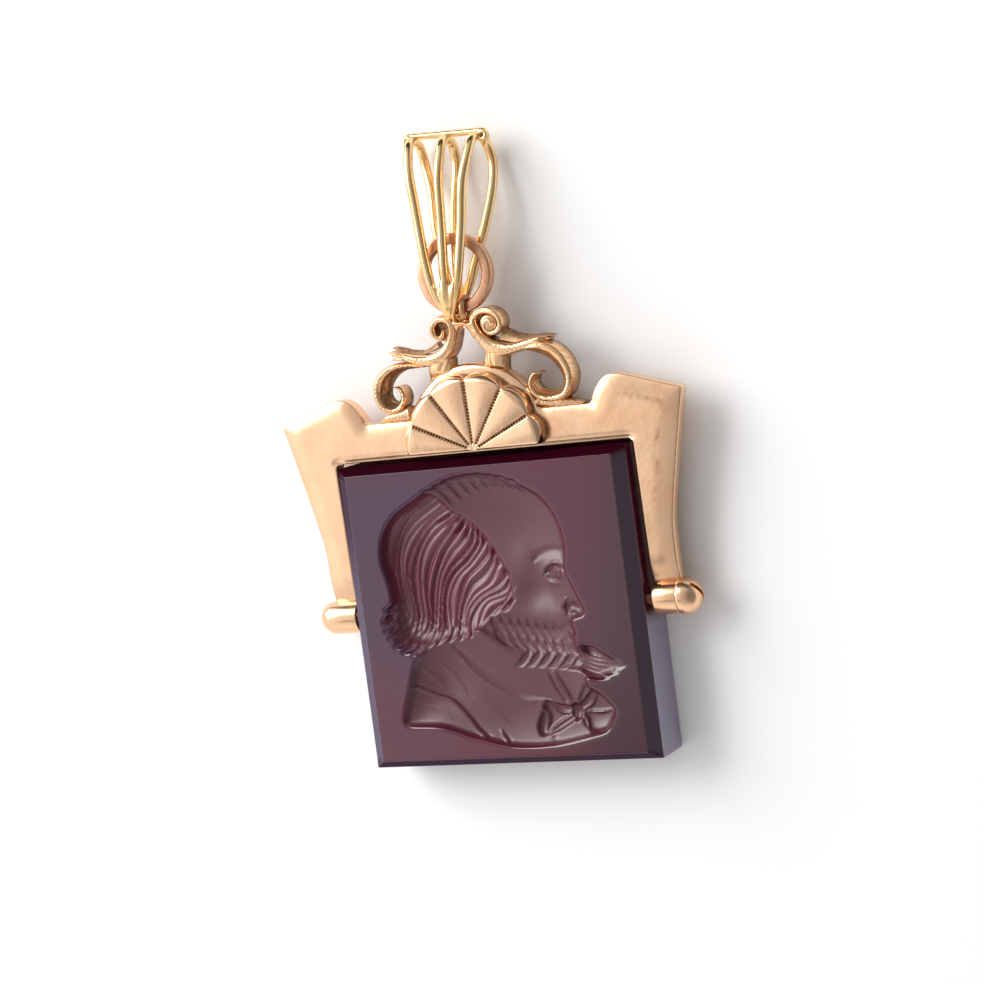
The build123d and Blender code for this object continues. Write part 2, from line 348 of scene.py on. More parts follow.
def pillow(outline, z_top, z_bot, rings, grid):
    """closed plate from an outline; z_top and z_bot give height from (x, y, d)"""
    outline = np.asarray(outline, float)
    area = 0.5 * np.sum(outline[:, 0] * np.roll(outline[:, 1], -1)
                        - np.roll(outline[:, 0], -1) * outline[:, 1])
    if area < 0:
        outline = outline[::-1]
    n = len(outline)
    t = np.roll(outline, -1, 0) - np.roll(outline, 1, 0)
    t /= np.linalg.norm(t, axis=1)[:, None]
    inward = np.stack([-t[:, 1], t[:, 0]], 1)
    pts = [outline]
    for r in rings:
        q = outline + inward * r
        ok = inside(q, outline) & (line_distance(q, outline, True) > 0.93 * r)
        pts.append(q[ok])
    lo2, hi2 = outline.min(0), outline.max(0)
    ys = np.arange(lo2[1] + grid / 2, hi2[1], grid * 0.866)
    hexes = []
    for k, y in enumerate(ys):
        xs = np.arange(lo2[0] + (grid / 2 if k % 2 else 0), hi2[0], grid)
        hexes.append(np.stack([xs, np.full(len(xs), y)], 1))
    hexes = np.concatenate(hexes)
    hexes = hexes[inside(hexes, outline)]
    hexes = hexes[line_distance(hexes, outline, True) > (max(rings) if rings else 0) + 0.5 * grid]
    pts.append(hexes)
    allp = np.concatenate(pts)
    out = delaunay_2d_cdt([Vector(p) for p in allp], [(i, (i + 1) % n) for i in range(n)],
                          [list(range(n))], 1, 1e-6, False)
    v2 = np.array([tuple(v) for v in out[0]])
    tris = [tuple(f) for f in out[2]]
    mid = np.array([v2[list(t)].mean(0) for t in tris])
    tris = [t for t, ok in zip(tris, inside(mid, outline)) if ok]
    # keep counter-clockwise
    fixed = []
    for a, b, c in tris:
        if np.cross(v2[b] - v2[a], v2[c] - v2[a]) < 0:
            a, b = b, a
        fixed.append((a, b, c))
    tris = fixed
    d = line_distance(v2, outline, True)
    count = {}
    for f in tris:
        for i in range(3):
            e = (f[i], f[(i + 1) % 3])
            count[e] = count.get(e, 0) + 1
    edge = [e for e in count if (e[1], e[0]) not in count]
    d[list({i for e in edge for i in e})] = 0
    zt, zb = z_top(v2[:, 0], v2[:, 1], d), z_bot(v2[:, 0], v2[:, 1], d)
    m = len(v2)
    verts = np.concatenate([np.column_stack([v2, zt]), np.column_stack([v2, zb])])
    faces = list(tris) + [(c + m, b + m, a + m) for a, b, c in tris]
    faces += [(b, a, a + m, b + m) for a, b in edge]
    return verts, faces


def band(rows, height, z_low, step=0.08, across=14, ends=0.10):
    """ribbon with a moulded top: rows x, y, half width; height(s, a, x, y, w)
    gives the top above z_low; s runs 0..1, a runs -1..1"""
    mid = resample(smooth_rows(rows, 10), step)
    n = len(mid)
    t = np.gradient(mid[:, :2], axis=0)
    t /= np.linalg.norm(t, axis=1)[:, None]
    nrm = np.stack([-t[:, 1], t[:, 0]], 1)
    s = np.linspace(0, 1, n)
    # more columns near the edges
    u = np.linspace(-1, 1, across + 1)
    a = np.sin(u * math.pi / 2)
    x = mid[:, 0:1] + nrm[:, 0:1] * a[None] * mid[:, 2:3]
    y = mid[:, 1:2] + nrm[:, 1:2] * a[None] * mid[:, 2:3]
    S, A = np.meshgrid(s, a, indexing="ij")
    z = height(S, A, x, y, mid[:, 2:3] + 0 * A)
    top = np.stack([x, y, z], -1)
    return grid_shell(top[:, ::-1], z_low)


# ------------------------------------------------------------------ materials
def new_material(name):
    m = bpy.data.materials.new(name)
    m.use_nodes = True
    nt = m.node_tree
    b = nt.nodes["Principled BSDF"]
    return m, nt, b


def node(nt, kind, **props):
    n = nt.nodes.new(kind)
    for k, v in props.items():
        if k in n.inputs:
            n.inputs[k].default_value = v
        else:
            setattr(n, k, v)
    return n


def gold_material(name, pale, deep, rough, patina=0.9):
    """polished gold: colour and gloss vary softly, dark where 'dark' says"""
    m, nt, b = new_material(name)
    L = nt.links.new
    tc = node(nt, "ShaderNodeTexCoord")
    mp = node(nt, "ShaderNodeMapping")
    mp.inputs["Scale"].default_value = (1000, 1000, 1000)
    L(tc.outputs["Object"], mp.inputs["Vector"])
    soft = node(nt, "ShaderNodeTexNoise")
    soft.inputs["Scale"].default_value = 0.35
    soft.inputs["Detail"].default_value = 3.0
    L(mp.outputs[0], soft.inputs["Vector"])
    mix = node(nt, "ShaderNodeMix", data_type="RGBA")
    mix.inputs["A"].default_value = (*pale, 1)
    mix.inputs["B"].default_value = (*deep, 1)
    ramp = node(nt, "ShaderNodeMapRange")
    ramp.inputs["From Min"].default_value = 0.42
    ramp.inputs["From Max"].default_value = 0.72
    ramp.inputs["To Max"].default_value = 0.75
    L(soft.outputs["Fac"], ramp.inputs["Value"])
    L(ramp.outputs[0], mix.inputs["Factor"])
    # patina in the recesses, and painted shade: the 'dark' attribute darkens the colour where shade falls
    at = node(nt, "ShaderNodeAttribute", attribute_name="dark")
    fine = node(nt, "ShaderNodeTexNoise")
    fine.inputs["Scale"].default_value = 2.6
    fine.inputs["Detail"].default_value = 2.0
    L(mp.outputs[0], fine.inputs["Vector"])
    grow = node(nt, "ShaderNodeMath", operation="MULTIPLY")
    spread = node(nt, "ShaderNodeMapRange")
    spread.inputs["From Min"].default_value = 0.3
    spread.inputs["From Max"].default_value = 0.6
    spread.inputs["To Min"].default_value = 0.55
    spread.inputs["To Max"].default_value = 1.0
    L(fine.outputs["Fac"], spread.inputs["Value"])
    L(at.outputs["Fac"], grow.inputs[0])
    L(spread.outputs[0], grow.inputs[1])
    gain = node(nt, "ShaderNodeMath", operation="MULTIPLY")
    gain.inputs[1].default_value = patina
    L(grow.outputs[0], gain.inputs[0])
    mix2 = node(nt, "ShaderNodeMix", data_type="RGBA")
    mix2.inputs["B"].default_value = (0.105, 0.036, 0.011, 1)
    L(gain.outputs[0], mix2.inputs["Factor"])
    L(mix.outputs["Result"], mix2.inputs["A"])
    L(mix2.outputs["Result"], b.inputs["Base Color"])
    metal = node(nt, "ShaderNodeMath", operation="MULTIPLY_ADD")
    metal.inputs[1].default_value = -0.40
    metal.inputs[2].default_value = 1.0
    L(gain.outputs[0], metal.inputs[0])
    L(metal.outputs[0], b.inputs["Metallic"])
    b.inputs["IOR"].default_value = 1.18
    rr = node(nt, "ShaderNodeMapRange")
    rr.inputs["To Min"].default_value = rough * 0.7
    rr.inputs["To Max"].default_value = rough * 1.35
    wear_and_shade = node(nt, "ShaderNodeTexNoise")
    wear_and_shade.inputs["Scale"].default_value = 1.6
    wear_and_shade.inputs["Detail"].default_value = 6.0
    L(mp.outputs[0], wear_and_shade.inputs["Vector"])
    L(wear_and_shade.outputs["Fac"], rr.inputs["Value"])
    addr = node(nt, "ShaderNodeMath", operation="MULTIPLY_ADD")
    addr.inputs[1].default_value = 0.25
    L(gain.outputs[0], addr.inputs[0])
    L(rr.outputs[0], addr.inputs[2])
    L(addr.outputs[0], b.inputs["Roughness"])
    # hairline scratches and a hand-finished waviness
    mp2 = node(nt, "ShaderNodeMapping")
    mp2.inputs["Scale"].default_value = (9000, 900, 3000)
    mp2.inputs["Rotation"].default_value = (0, 0, math.radians(24))
    L(tc.outputs["Object"], mp2.inputs["Vector"])
    scr = node(nt, "ShaderNodeTexNoise")
    scr.inputs["Scale"].default_value = 1.0
    scr.inputs["Detail"].default_value = 5.0
    L(mp2.outputs[0], scr.inputs["Vector"])
    bump = node(nt, "ShaderNodeBump")
    bump.inputs["Strength"].default_value = 0.05
    bump.inputs["Distance"].default_value = 0.00005
    L(scr.outputs["Fac"], bump.inputs["Height"])
    bump2 = node(nt, "ShaderNodeBump")
    bump2.inputs["Strength"].default_value = 0.25
    bump2.inputs["Distance"].default_value = 0.0002
    L(soft.outputs["Fac"], bump2.inputs["Height"])
    L(bump.outputs[0], bump2.inputs["Normal"])
    L(bump2.outputs[0], b.inputs["Normal"])
    return m


GOLD = gold_material("rose_gold", (0.945, 0.62, 0.392), (0.915, 0.53, 0.312), 0.22)
GOLD_SCROLL = gold_material("rose_gold_chased", (0.98, 0.64, 0.37), (0.93, 0.46, 0.20), 0.20, 1.0)
GOLD_BAIL = gold_material("yellow_gold", (0.97, 0.69, 0.35), (0.92, 0.56, 0.22), 0.14)
GOLD_RING = gold_material("red_gold", (0.86, 0.49, 0.31), (0.74, 0.34, 0.19), 0.24)


def stone_material(name="carnelian", ior=1.70, matt=0.0):
    """dark red-brown chalcedony: polished skin, matt where it is cut"""
    m, nt, b = new_material(name)
    L = nt.links.new
    tc = node(nt, "ShaderNodeTexCoord")
    mp = node(nt, "ShaderNodeMapping")
    mp.inputs["Scale"].default_value = (1000, 1000, 1000)
    L(tc.outputs["Object"], mp.inputs["Vector"])
    cloud = node(nt, "ShaderNodeTexNoise")
    cloud.inputs["Scale"].default_value = 0.10
    cloud.inputs["Detail"].default_value = 3.0
    L(mp.outputs[0], cloud.inputs["Vector"])
    ramp = node(nt, "ShaderNodeMapRange")
    ramp.inputs["From Min"].default_value = 0.35
    ramp.inputs["From Max"].default_value = 0.65
    L(cloud.outputs["Fac"], ramp.inputs["Value"])
    mix = node(nt, "ShaderNodeMix", data_type="RGBA")
    mix.inputs["A"].default_value = (0.038, 0.008, 0.042, 1)
    mix.inputs["B"].default_value = (0.082, 0.0005, 0.017, 1)
    warm = node(nt, "ShaderNodeAttribute", attribute_name="warm")
    wf = node(nt, "ShaderNodeMath", operation="MULTIPLY_ADD")
    wf.inputs[1].default_value = 0.35
    wf.use_clamp = True
    L(ramp.outputs[0], wf.inputs[0])
    L(warm.outputs["Fac"], wf.inputs[2])
    L(wf.outputs[0], mix.inputs["Factor"])
    cut = node(nt, "ShaderNodeAttribute", attribute_name="cut")
    deep = node(nt, "ShaderNodeAttribute", attribute_name="deep")
    mix2 = node(nt, "ShaderNodeMix", data_type="RGBA")
    mix2.inputs["B"].default_value = (0.088, 0.013, 0.026, 1)
    L(mix.outputs["Result"], mix2.inputs["A"])
    L(cut.outputs["Fac"], mix2.inputs["Factor"])
    mix3 = node(nt, "ShaderNodeMix", data_type="RGBA")
    mix3.inputs["B"].default_value = (0.150, 0.018, 0.036, 1)
    L(mix2.outputs["Result"], mix3.inputs["A"])
    L(deep.outputs["Fac"], mix3.inputs["Factor"])
    # painted shade: the colour darkens towards the bevels, the top side face and the right part of the table
    tone = node(nt, "ShaderNodeAttribute", attribute_name="tone")
    mix4 = node(nt, "ShaderNodeMix", data_type="RGBA")
    mix4.inputs["B"].default_value = (0.022, 0.0008, 0.005, 1)
    L(mix3.outputs["Result"], mix4.inputs["A"])
    L(tone.outputs["Fac"], mix4.inputs["Factor"])
    # painted reflection: 'side' lightens the colour to a pale blue-grey on the lower right side face and the bevels,
    # where the bright floor is reflected
    side = node(nt, "ShaderNodeAttribute", attribute_name="side")
    mix5 = node(nt, "ShaderNodeMix", data_type="RGBA")
    mix5.inputs["B"].default_value = (0.31, 0.295, 0.41, 1)
    L(mix4.outputs["Result"], mix5.inputs["A"])
    L(side.outputs["Fac"], mix5.inputs["Factor"])
    L(mix5.outputs["Result"], b.inputs["Base Color"])
    rough = node(nt, "ShaderNodeMapRange")
    rough.inputs["To Min"].default_value = 0.10 + matt
    rough.inputs["To Max"].default_value = 0.38
    L(cut.outputs["Fac"], rough.inputs["Value"])
    ground = node(nt, "ShaderNodeMath", operation="MULTIPLY_ADD")
    ground.inputs[1].default_value = 0.30
    L(side.outputs["Fac"], ground.inputs[0])
    L(rough.outputs[0], ground.inputs[2])
    L(ground.outputs[0], b.inputs["Roughness"])
    b.inputs["IOR"].default_value = ior
    b.inputs["Subsurface Weight"].default_value = 0.0
    fine = node(nt, "ShaderNodeTexNoise")
    fine.inputs["Scale"].default_value = 9.0
    fine.inputs["Detail"].default_value = 4.0
    L(mp.outputs[0], fine.inputs["Vector"])
    bump = node(nt, "ShaderNodeBump")
    bump.inputs["Distance"].default_value = 0.00002
    bs = node(nt, "ShaderNodeMath", operation="MULTIPLY")
    bs.inputs[1].default_value = 0.35
    L(cut.outputs["Fac"], bs.inputs[0])
    L(bs.outputs[0], bump.inputs["Strength"])
    L(fine.outputs["Fac"], bump.inputs["Height"])
    L(bump.outputs[0], b.inputs["Normal"])
    return m


STONE = stone_material()
STONE_SIDE = stone_material("carnelian_side", 1.80, 0.12)
STONE_EDGE = stone_material("carnelian_edge", 1.05, 0.60)

# ------------------------------------------------------------------ frame plate
OUTER = smooth_rows([(13.75, ARM_END), (13.78, 3.2), (13.85, 5.2), (14.17, 7.1),
                     (14.60, 9.2), (15.22, 12.0), (15.74, 14.25)], 8)
CORNER = smooth_rows([(15.74, 14.25), (15.79, 14.52), (15.76, 14.64), (15.66, 14.71)], 3)
TOP = smooth_rows([(15.66, 14.71), (14.50, 15.07), (12.90, 15.58), (11.60, 15.98),
                   (10.90, 16.08), (10.35, 16.00), (9.85, 15.70), (9.40, 15.18),
                   (9.08, 14.62), (8.96, 14.30), (8.80, LEDGE_Y)], 6)


def plate_outline():
    arch_x = math.sqrt(ARCH_R ** 2 - (LEDGE_Y - ARCH_CY) ** 2)
    a0 = math.atan2(LEDGE_Y - ARCH_CY, arch_x)
    arc = [(ARCH_R * math.cos(a), ARCH_CY + ARCH_R * math.sin(a))
           for a in np.linspace(a0, math.pi / 2, 40)]
    ledge = [(x, LEDGE_Y) for x in np.linspace(8.80, arch_x, 22)][1:-1]
    half = np.concatenate([OUTER, CORNER[1:], TOP[1:], ledge, arc])
    left = half[::-1][1:] * (-1, 1)
    outer = np.concatenate([half, left])
    corner = [(-OPEN_HALF + OPEN_R + OPEN_R * math.cos(a), OPEN_TOP - OPEN_R + OPEN_R * math.sin(a))
              for a in np.linspace(math.pi, math.pi / 2, 7)]
    arm = [(-OPEN_HALF, y) for y in np.arange(ARM_END, OPEN_TOP - OPEN_R, 0.3)]
    bar = [(x, OPEN_TOP) for x in np.arange(-OPEN_HALF + OPEN_R + 0.3, 0.001, 0.3)]
    left_in = np.array(arm + corner + bar)
    right_in = left_in[::-1] * (-1, 1)
    inner = np.concatenate([left_in, right_in[1:] if abs(left_in[-1][0]) < 1e-6 else right_in])
    return outer, inner


def build_plate():
    outer, inner = plate_outline()
    outline = np.concatenate([outer, inner])
    h = PLATE_T / 2

    def top(x, y, d):
        p = np.stack([x, y], 1)
        do = line_distance(p, outer)
        di = line_distance(p, inner)
        z = np.full(len(x), h)
        arch = step01((y - LEDGE_Y - 0.1) / 0.5) * (np.abs(x) < 5.6)
        # soft roll to the outer edge, then a small edge radius
        z -= 0.20 * np.clip(1 - do / 1.25, 0, 1) ** 2 * (1 - arch)
        z -= 0.40 * (1 - quarter(do / 0.55)) * arch
        z -= 0.10 * (1 - quarter(do / 0.12))
        bar = step01((y - 11.3) / 0.3)
        z -= 0.06 * (1 - quarter(di / 0.10)) + 0.16 * bar * np.clip(1 - di / 0.40, 0, 1)
        # the arms dip towards the barrels
        z -= 0.30 * step01((3.2 - y) / 2.2) ** 1.5
        return z

    def bot(x, y, d):
        return -h + 0.12 * (1 - quarter(d / 0.14))

    v, f = pillow(outline, top, bot, [0.03, 0.08, 0.16, 0.28, 0.45, 0.70, 0.98], 0.25)
    half = len(v) // 2
    di = line_distance(v[:, :2], inner)
    # painted shade: the underside along the opening and the arms' inner edge are darkened where the gap to the stone
    # lies in shade
    dark = np.zeros(len(v))
    dark[half:] = np.where(di[half:] < 0.05, 1.0, 0.0)
    dark[:half] = np.where((di[:half] < 0.01) & (v[:half, 1] < 11.3), 0.9, 0.0)
    # a darker, streaky patch below the top right corner
    corner_streak = np.exp(-(((v[:, 0] - 12.3) + 2.2 * (v[:, 1] - 14.9)) / 1.5) ** 2 - ((v[:, 1] - 14.75) / 0.42) ** 2)
    dark[:half] += (0.30 * corner_streak * (0.6 + 0.4 * np.sin(9.0 * v[:, 0] + 4.0 * v[:, 1])))[:half]
    # painted shade on the right arm: a darker strip about 1.35 mm in from the outer edge, broken up by a fine pattern,
    # and a darkening towards that edge
    do = line_distance(v[:, :2], outer)
    grain = 0.5 + 0.5 * np.sin(23.0 * v[:, 1] + 6.0 * v[:, 0]) * np.sin(11.0 * v[:, 1] - 17.0 * v[:, 0] + 1.0)
    line = np.exp(-((do - 1.35 - 0.1 * np.sin(1.3 * v[:, 1])) / 0.22) ** 2) * (v[:, 0] > 11) * step01((v[:, 1] - 6.0) / 2.0) \
        * step01((15.2 - v[:, 1]) / 0.6)
    rim = np.clip(1 - do / 1.3, 0, 1) * (v[:, 0] > 11) * step01((v[:, 1] - 3.0) / 3.0)
    dark[:half] += (0.85 * line * grain + 0.12 * rim)[:half]
    # painted shade where the arms dip to the barrels
    foot_ = np.exp(-((v[:, 1] - 1.6) / 0.9) ** 2)
    dark[:half] += 0.22 * foot_[:half]
    parts = Parts()
    parts.add(v, f, np.clip(dark, 0, 1))
    # barrels
    x0 = OPEN_HALF + 0.02
    e = 0.07
    prof = [(x0, 0), (x0, BARREL_R - e)]
    prof += [(x0 + e - e * math.cos(a), BARREL_R - e + e * math.sin(a)) for a in np.linspace(0.3, math.pi / 2, 5)]
    x1 = BARREL_R_END
    prof += [(x1 - e + e * math.sin(a), BARREL_R - e + e * math.cos(a)) for a in np.linspace(0, 1.27, 5)]
    prof += [(x1, BARREL_R - e), (x1, 0)]
    v, f = lathe(prof, 96)
    # painted shade on the right barrel's end face, in the joint under the screw head
    wear_and_shade = 0.75 * np.clip((v[:, 0] - (x1 - 0.05)) / 0.05, 0, 1)
    parts.add(v, f, wear_and_shade)
    x1 = BARREL_L_END
    prof = [(-x0, 0), (-x0, BARREL_R - e)]
    prof += [(-(x0 + e - e * math.cos(a)), BARREL_R - e + e * math.sin(a)) for a in np.linspace(0.3, math.pi / 2, 5)]
    prof += [(-x1 - BARREL_R * math.sin(a), BARREL_R * math.cos(a)) for a in np.linspace(0, math.pi / 2, 17)[:-1]]
    prof += [(-x1 - BARREL_R, 0)]
    v, f = lathe(prof, 96)
    parts.add(v, [t[::-1] for t in f])
    return parts.build("frame_plate", yoke, GOLD, sharp=50)


# ------------------------------------------------------------------ shell
def build_shell():
    base, face = 0.40, 0.65 + SHELL_T
    per = 44
    theta, frac = [], []
    for lobe in range(SHELL_LOBES):
        u = np.arange(per) / per
        # cluster the columns at the grooves
        f = u - 0.13 * np.sin(2 * math.pi * u)
        r0, r1 = SHELL_RIBS[lobe], SHELL_RIBS[lobe + 1]
        theta += list(np.radians(r0 + (r1 - r0) * f))
        frac += list(f)
    theta.append(math.pi)
    frac.append(1.0)
    theta, frac = np.array(theta), np.array(frac)
    nr = 176
    q = np.linspace(0, 1, nr + 1)
    rad_edge = SHELL_VALLEY + (SHELL_CREST - SHELL_VALLEY) * np.sin(math.pi * frac) ** 0.80
    Q, T = np.meshgrid(q, theta, indexing="ij")
    R = Q * rad_edge[None]
    F = np.broadcast_to(frac[None], R.shape)
    Xp, Yp = R * np.cos(T), SHELL_CY + R * np.sin(T)
    swell = np.sin(math.pi * F)
    out = np.clip(R / 4.6, 0, 1)
    # each lobe is a cushion that swells outwards
    z = face - 0.10 + 0.10 * swell ** 0.8 * out - 0.10 * (1 - out) ** 2
    # the rim rolls over in a crescent
    width = 0.22 + 0.50 * swell
    t = np.clip((R - (rad_edge[None] - width)) / width, 0, 1)
    z -= (0.28 + 0.30 * swell) * t ** 2.3
    edge = np.clip((rad_edge[None] - R) / 0.16, 0, 1)
    z -= 0.22 * (1 - quarter(edge))
    # the straight side over the stone
    lip = np.clip((Yp - SHELL_CY) / 0.20, 0, 1)
    z -= 0.16 * (1 - quarter(lip)) * (R > 0.3)
    # milled grooves between the lobes, darkened as painted shade, less on the beads
    dark = np.zeros_like(z)
    for k in range(1, SHELL_LOBES):
        a = math.radians(SHELL_RIBS[k])
        along_ = R * np.cos(T - a)
        off = np.abs(R * np.sin(T - a))
        live = step01((along_ - 0.30) / 0.35) * (along_ > 0) * step01((SHELL_VALLEY - 0.02 - along_) / 0.25)
        half = 0.100 + 0.070 * np.clip(along_ / 5, 0, 1)
        v = np.clip(1 - off / half, 0, 1)
        z -= 0.20 * live * v ** 0.8
        tick = 0.5 + 0.5 * np.cos(2 * math.pi * along_ / 0.235)
        bead = tick ** 1.5 * np.clip(1 - (off / (half * 0.95)) ** 2, 0, 1)
        z += 0.14 * live * bead
        dark = np.maximum(dark, live * np.clip(1.45 - off / half, 0, 1) * (1 - 0.55 * bead))
    dark = np.clip(dark, 0, 1)
    n, m = R.shape
    verts = [(0.0, SHELL_CY, z[0].mean())]
    verts += [(Xp[i, j], Yp[i, j], z[i, j]) for i in range(1, n) for j in range(m)]
    dk = [0.0] + [dark[i, j] for i in range(1, n) for j in range(m)]
    faces = [(0, 1 + j, 2 + j) for j in range(m - 1)]
    for i in range(n - 2):
        for j in range(m - 1):
            a = 1 + i * m + j
            faces.append((a, a + m, a + m + 1, a + 1))
    # wall and underside, the wall's colour darkened downwards as painted shade
    ring = [0] + [1 + i * m for i in range(n - 1)] + [1 + (n - 2) * m + j for j in range(1, m)] + \
        [1 + i * m + m - 1 for i in range(n - 3, -1, -1)]
    k = len(ring)
    prev = ring
    for zz, dv in ((None, 0.8), (0.75, 0.9), (base, 1.0)):
        first = len(verts)
        for i in ring:
            x, y, _ = verts[i]
            verts.append((x, y, _ - 0.07 if zz is None else zz))
            dk.append(dv)
        cur = list(range(first, first + k))
        for i in range(k):
            j = (i + 1) % k
            faces.append((prev[j], prev[i], cur[i], cur[j]))
        prev = cur
    faces.append(tuple(prev)[::-1])
    parts = Parts()
    parts.add(np.array(verts), faces, dk)
    return parts.build("shell_crest", yoke, GOLD, sharp=60)


# ------------------------------------------------------------------ scrolls
C_RIGHT = [
    (4.30, 18.46, 0.05), (4.80, 18.44, 0.20), (5.34, 18.42, 0.38),
    (5.96, 18.30, 0.54), (6.60, 17.94, 0.60), (7.14, 17.30, 0.60),
    (7.48, 16.48, 0.55), (7.46, 15.74, 0.48), (7.08, 15.12, 0.44),
    (6.40, 14.90, 0.42), (5.64, 14.94, 0.40), (5.04, 15.20, 0.34),
    (4.74, 15.70, 0.27), (4.78, 16.22, 0.21), (5.06, 16.56, 0.15), (5.48, 16.54, 0.04),
]
C_LEFT = [
    (3.45, 17.92, 0.06), (4.20, 18.02, 0.16), (5.10, 18.08, 0.28),
    (6.00, 17.92, 0.40), (6.76, 17.48, 0.48), (7.24, 16.78, 0.51),
    (7.32, 16.02, 0.48), (7.02, 15.40, 0.44), (6.50, 15.12, 0.40),
    (5.98, 15.18, 0.36), (5.60, 15.54, 0.31), (5.50, 16.06, 0.26),
    (5.68, 16.48, 0.19), (6.08, 16.66, 0.05),
]
S_RIGHT = [
    (6.46, 18.96, 0.04), (6.05, 18.92, 0.24), (5.50, 18.84, 0.38),
    (4.80, 18.74, 0.38), (4.00, 18.60, 0.36), (3.30, 18.54, 0.46), (2.60, 18.58, 0.60),
    (1.95, 18.86, 0.54), (1.34, 19.50, 0.41), (0.95, 20.22, 0.32),
    (0.88, 20.84, 0.28), (1.24, 21.26, 0.25), (1.86, 21.42, 0.24),
    (2.48, 21.26, 0.24), (2.88, 20.82, 0.24), (2.94, 20.28, 0.22),
    (2.60, 19.86, 0.20), (2.10, 19.80, 0.19), (1.74, 20.12, 0.18),
    (1.76, 20.52, 0.17), (2.04, 20.74, 0.18), (2.30, 20.54, 0.20), (2.22, 20.34, 0.16),
]
S_LEFT = [
    (5.95, 18.98, 0.06), (5.30, 18.90, 0.18), (4.50, 18.60, 0.30),
    (3.60, 18.36, 0.40), (2.80, 18.30, 0.48), (2.04, 18.48, 0.54),
    (1.38, 18.98, 0.48), (0.98, 19.64, 0.40), (0.78, 20.36, 0.36),
    (0.98, 20.92, 0.32), (1.48, 21.14, 0.28), (2.02, 21.04, 0.26),
    (2.36, 20.60, 0.24), (2.30, 20.06, 0.21), (1.96, 19.82, 0.18),
    (1.66, 19.98, 0.14), (1.62, 20.28, 0.09),
]


def chase(s, a, x, y, w, amount=0.035, pitch=0.30):
    """short graver strokes across a band"""
    phase = (x * 0.82 + y * 1.15) / pitch
    cut = 0.5 + 0.5 * np.cos(2 * math.pi * phase + 1.1 * np.sin(5.0 * y + 3.0 * x))
    return -amount * cut ** 2.5 * np.clip(1.3 - np.abs(a) * 1.1, 0, 1)


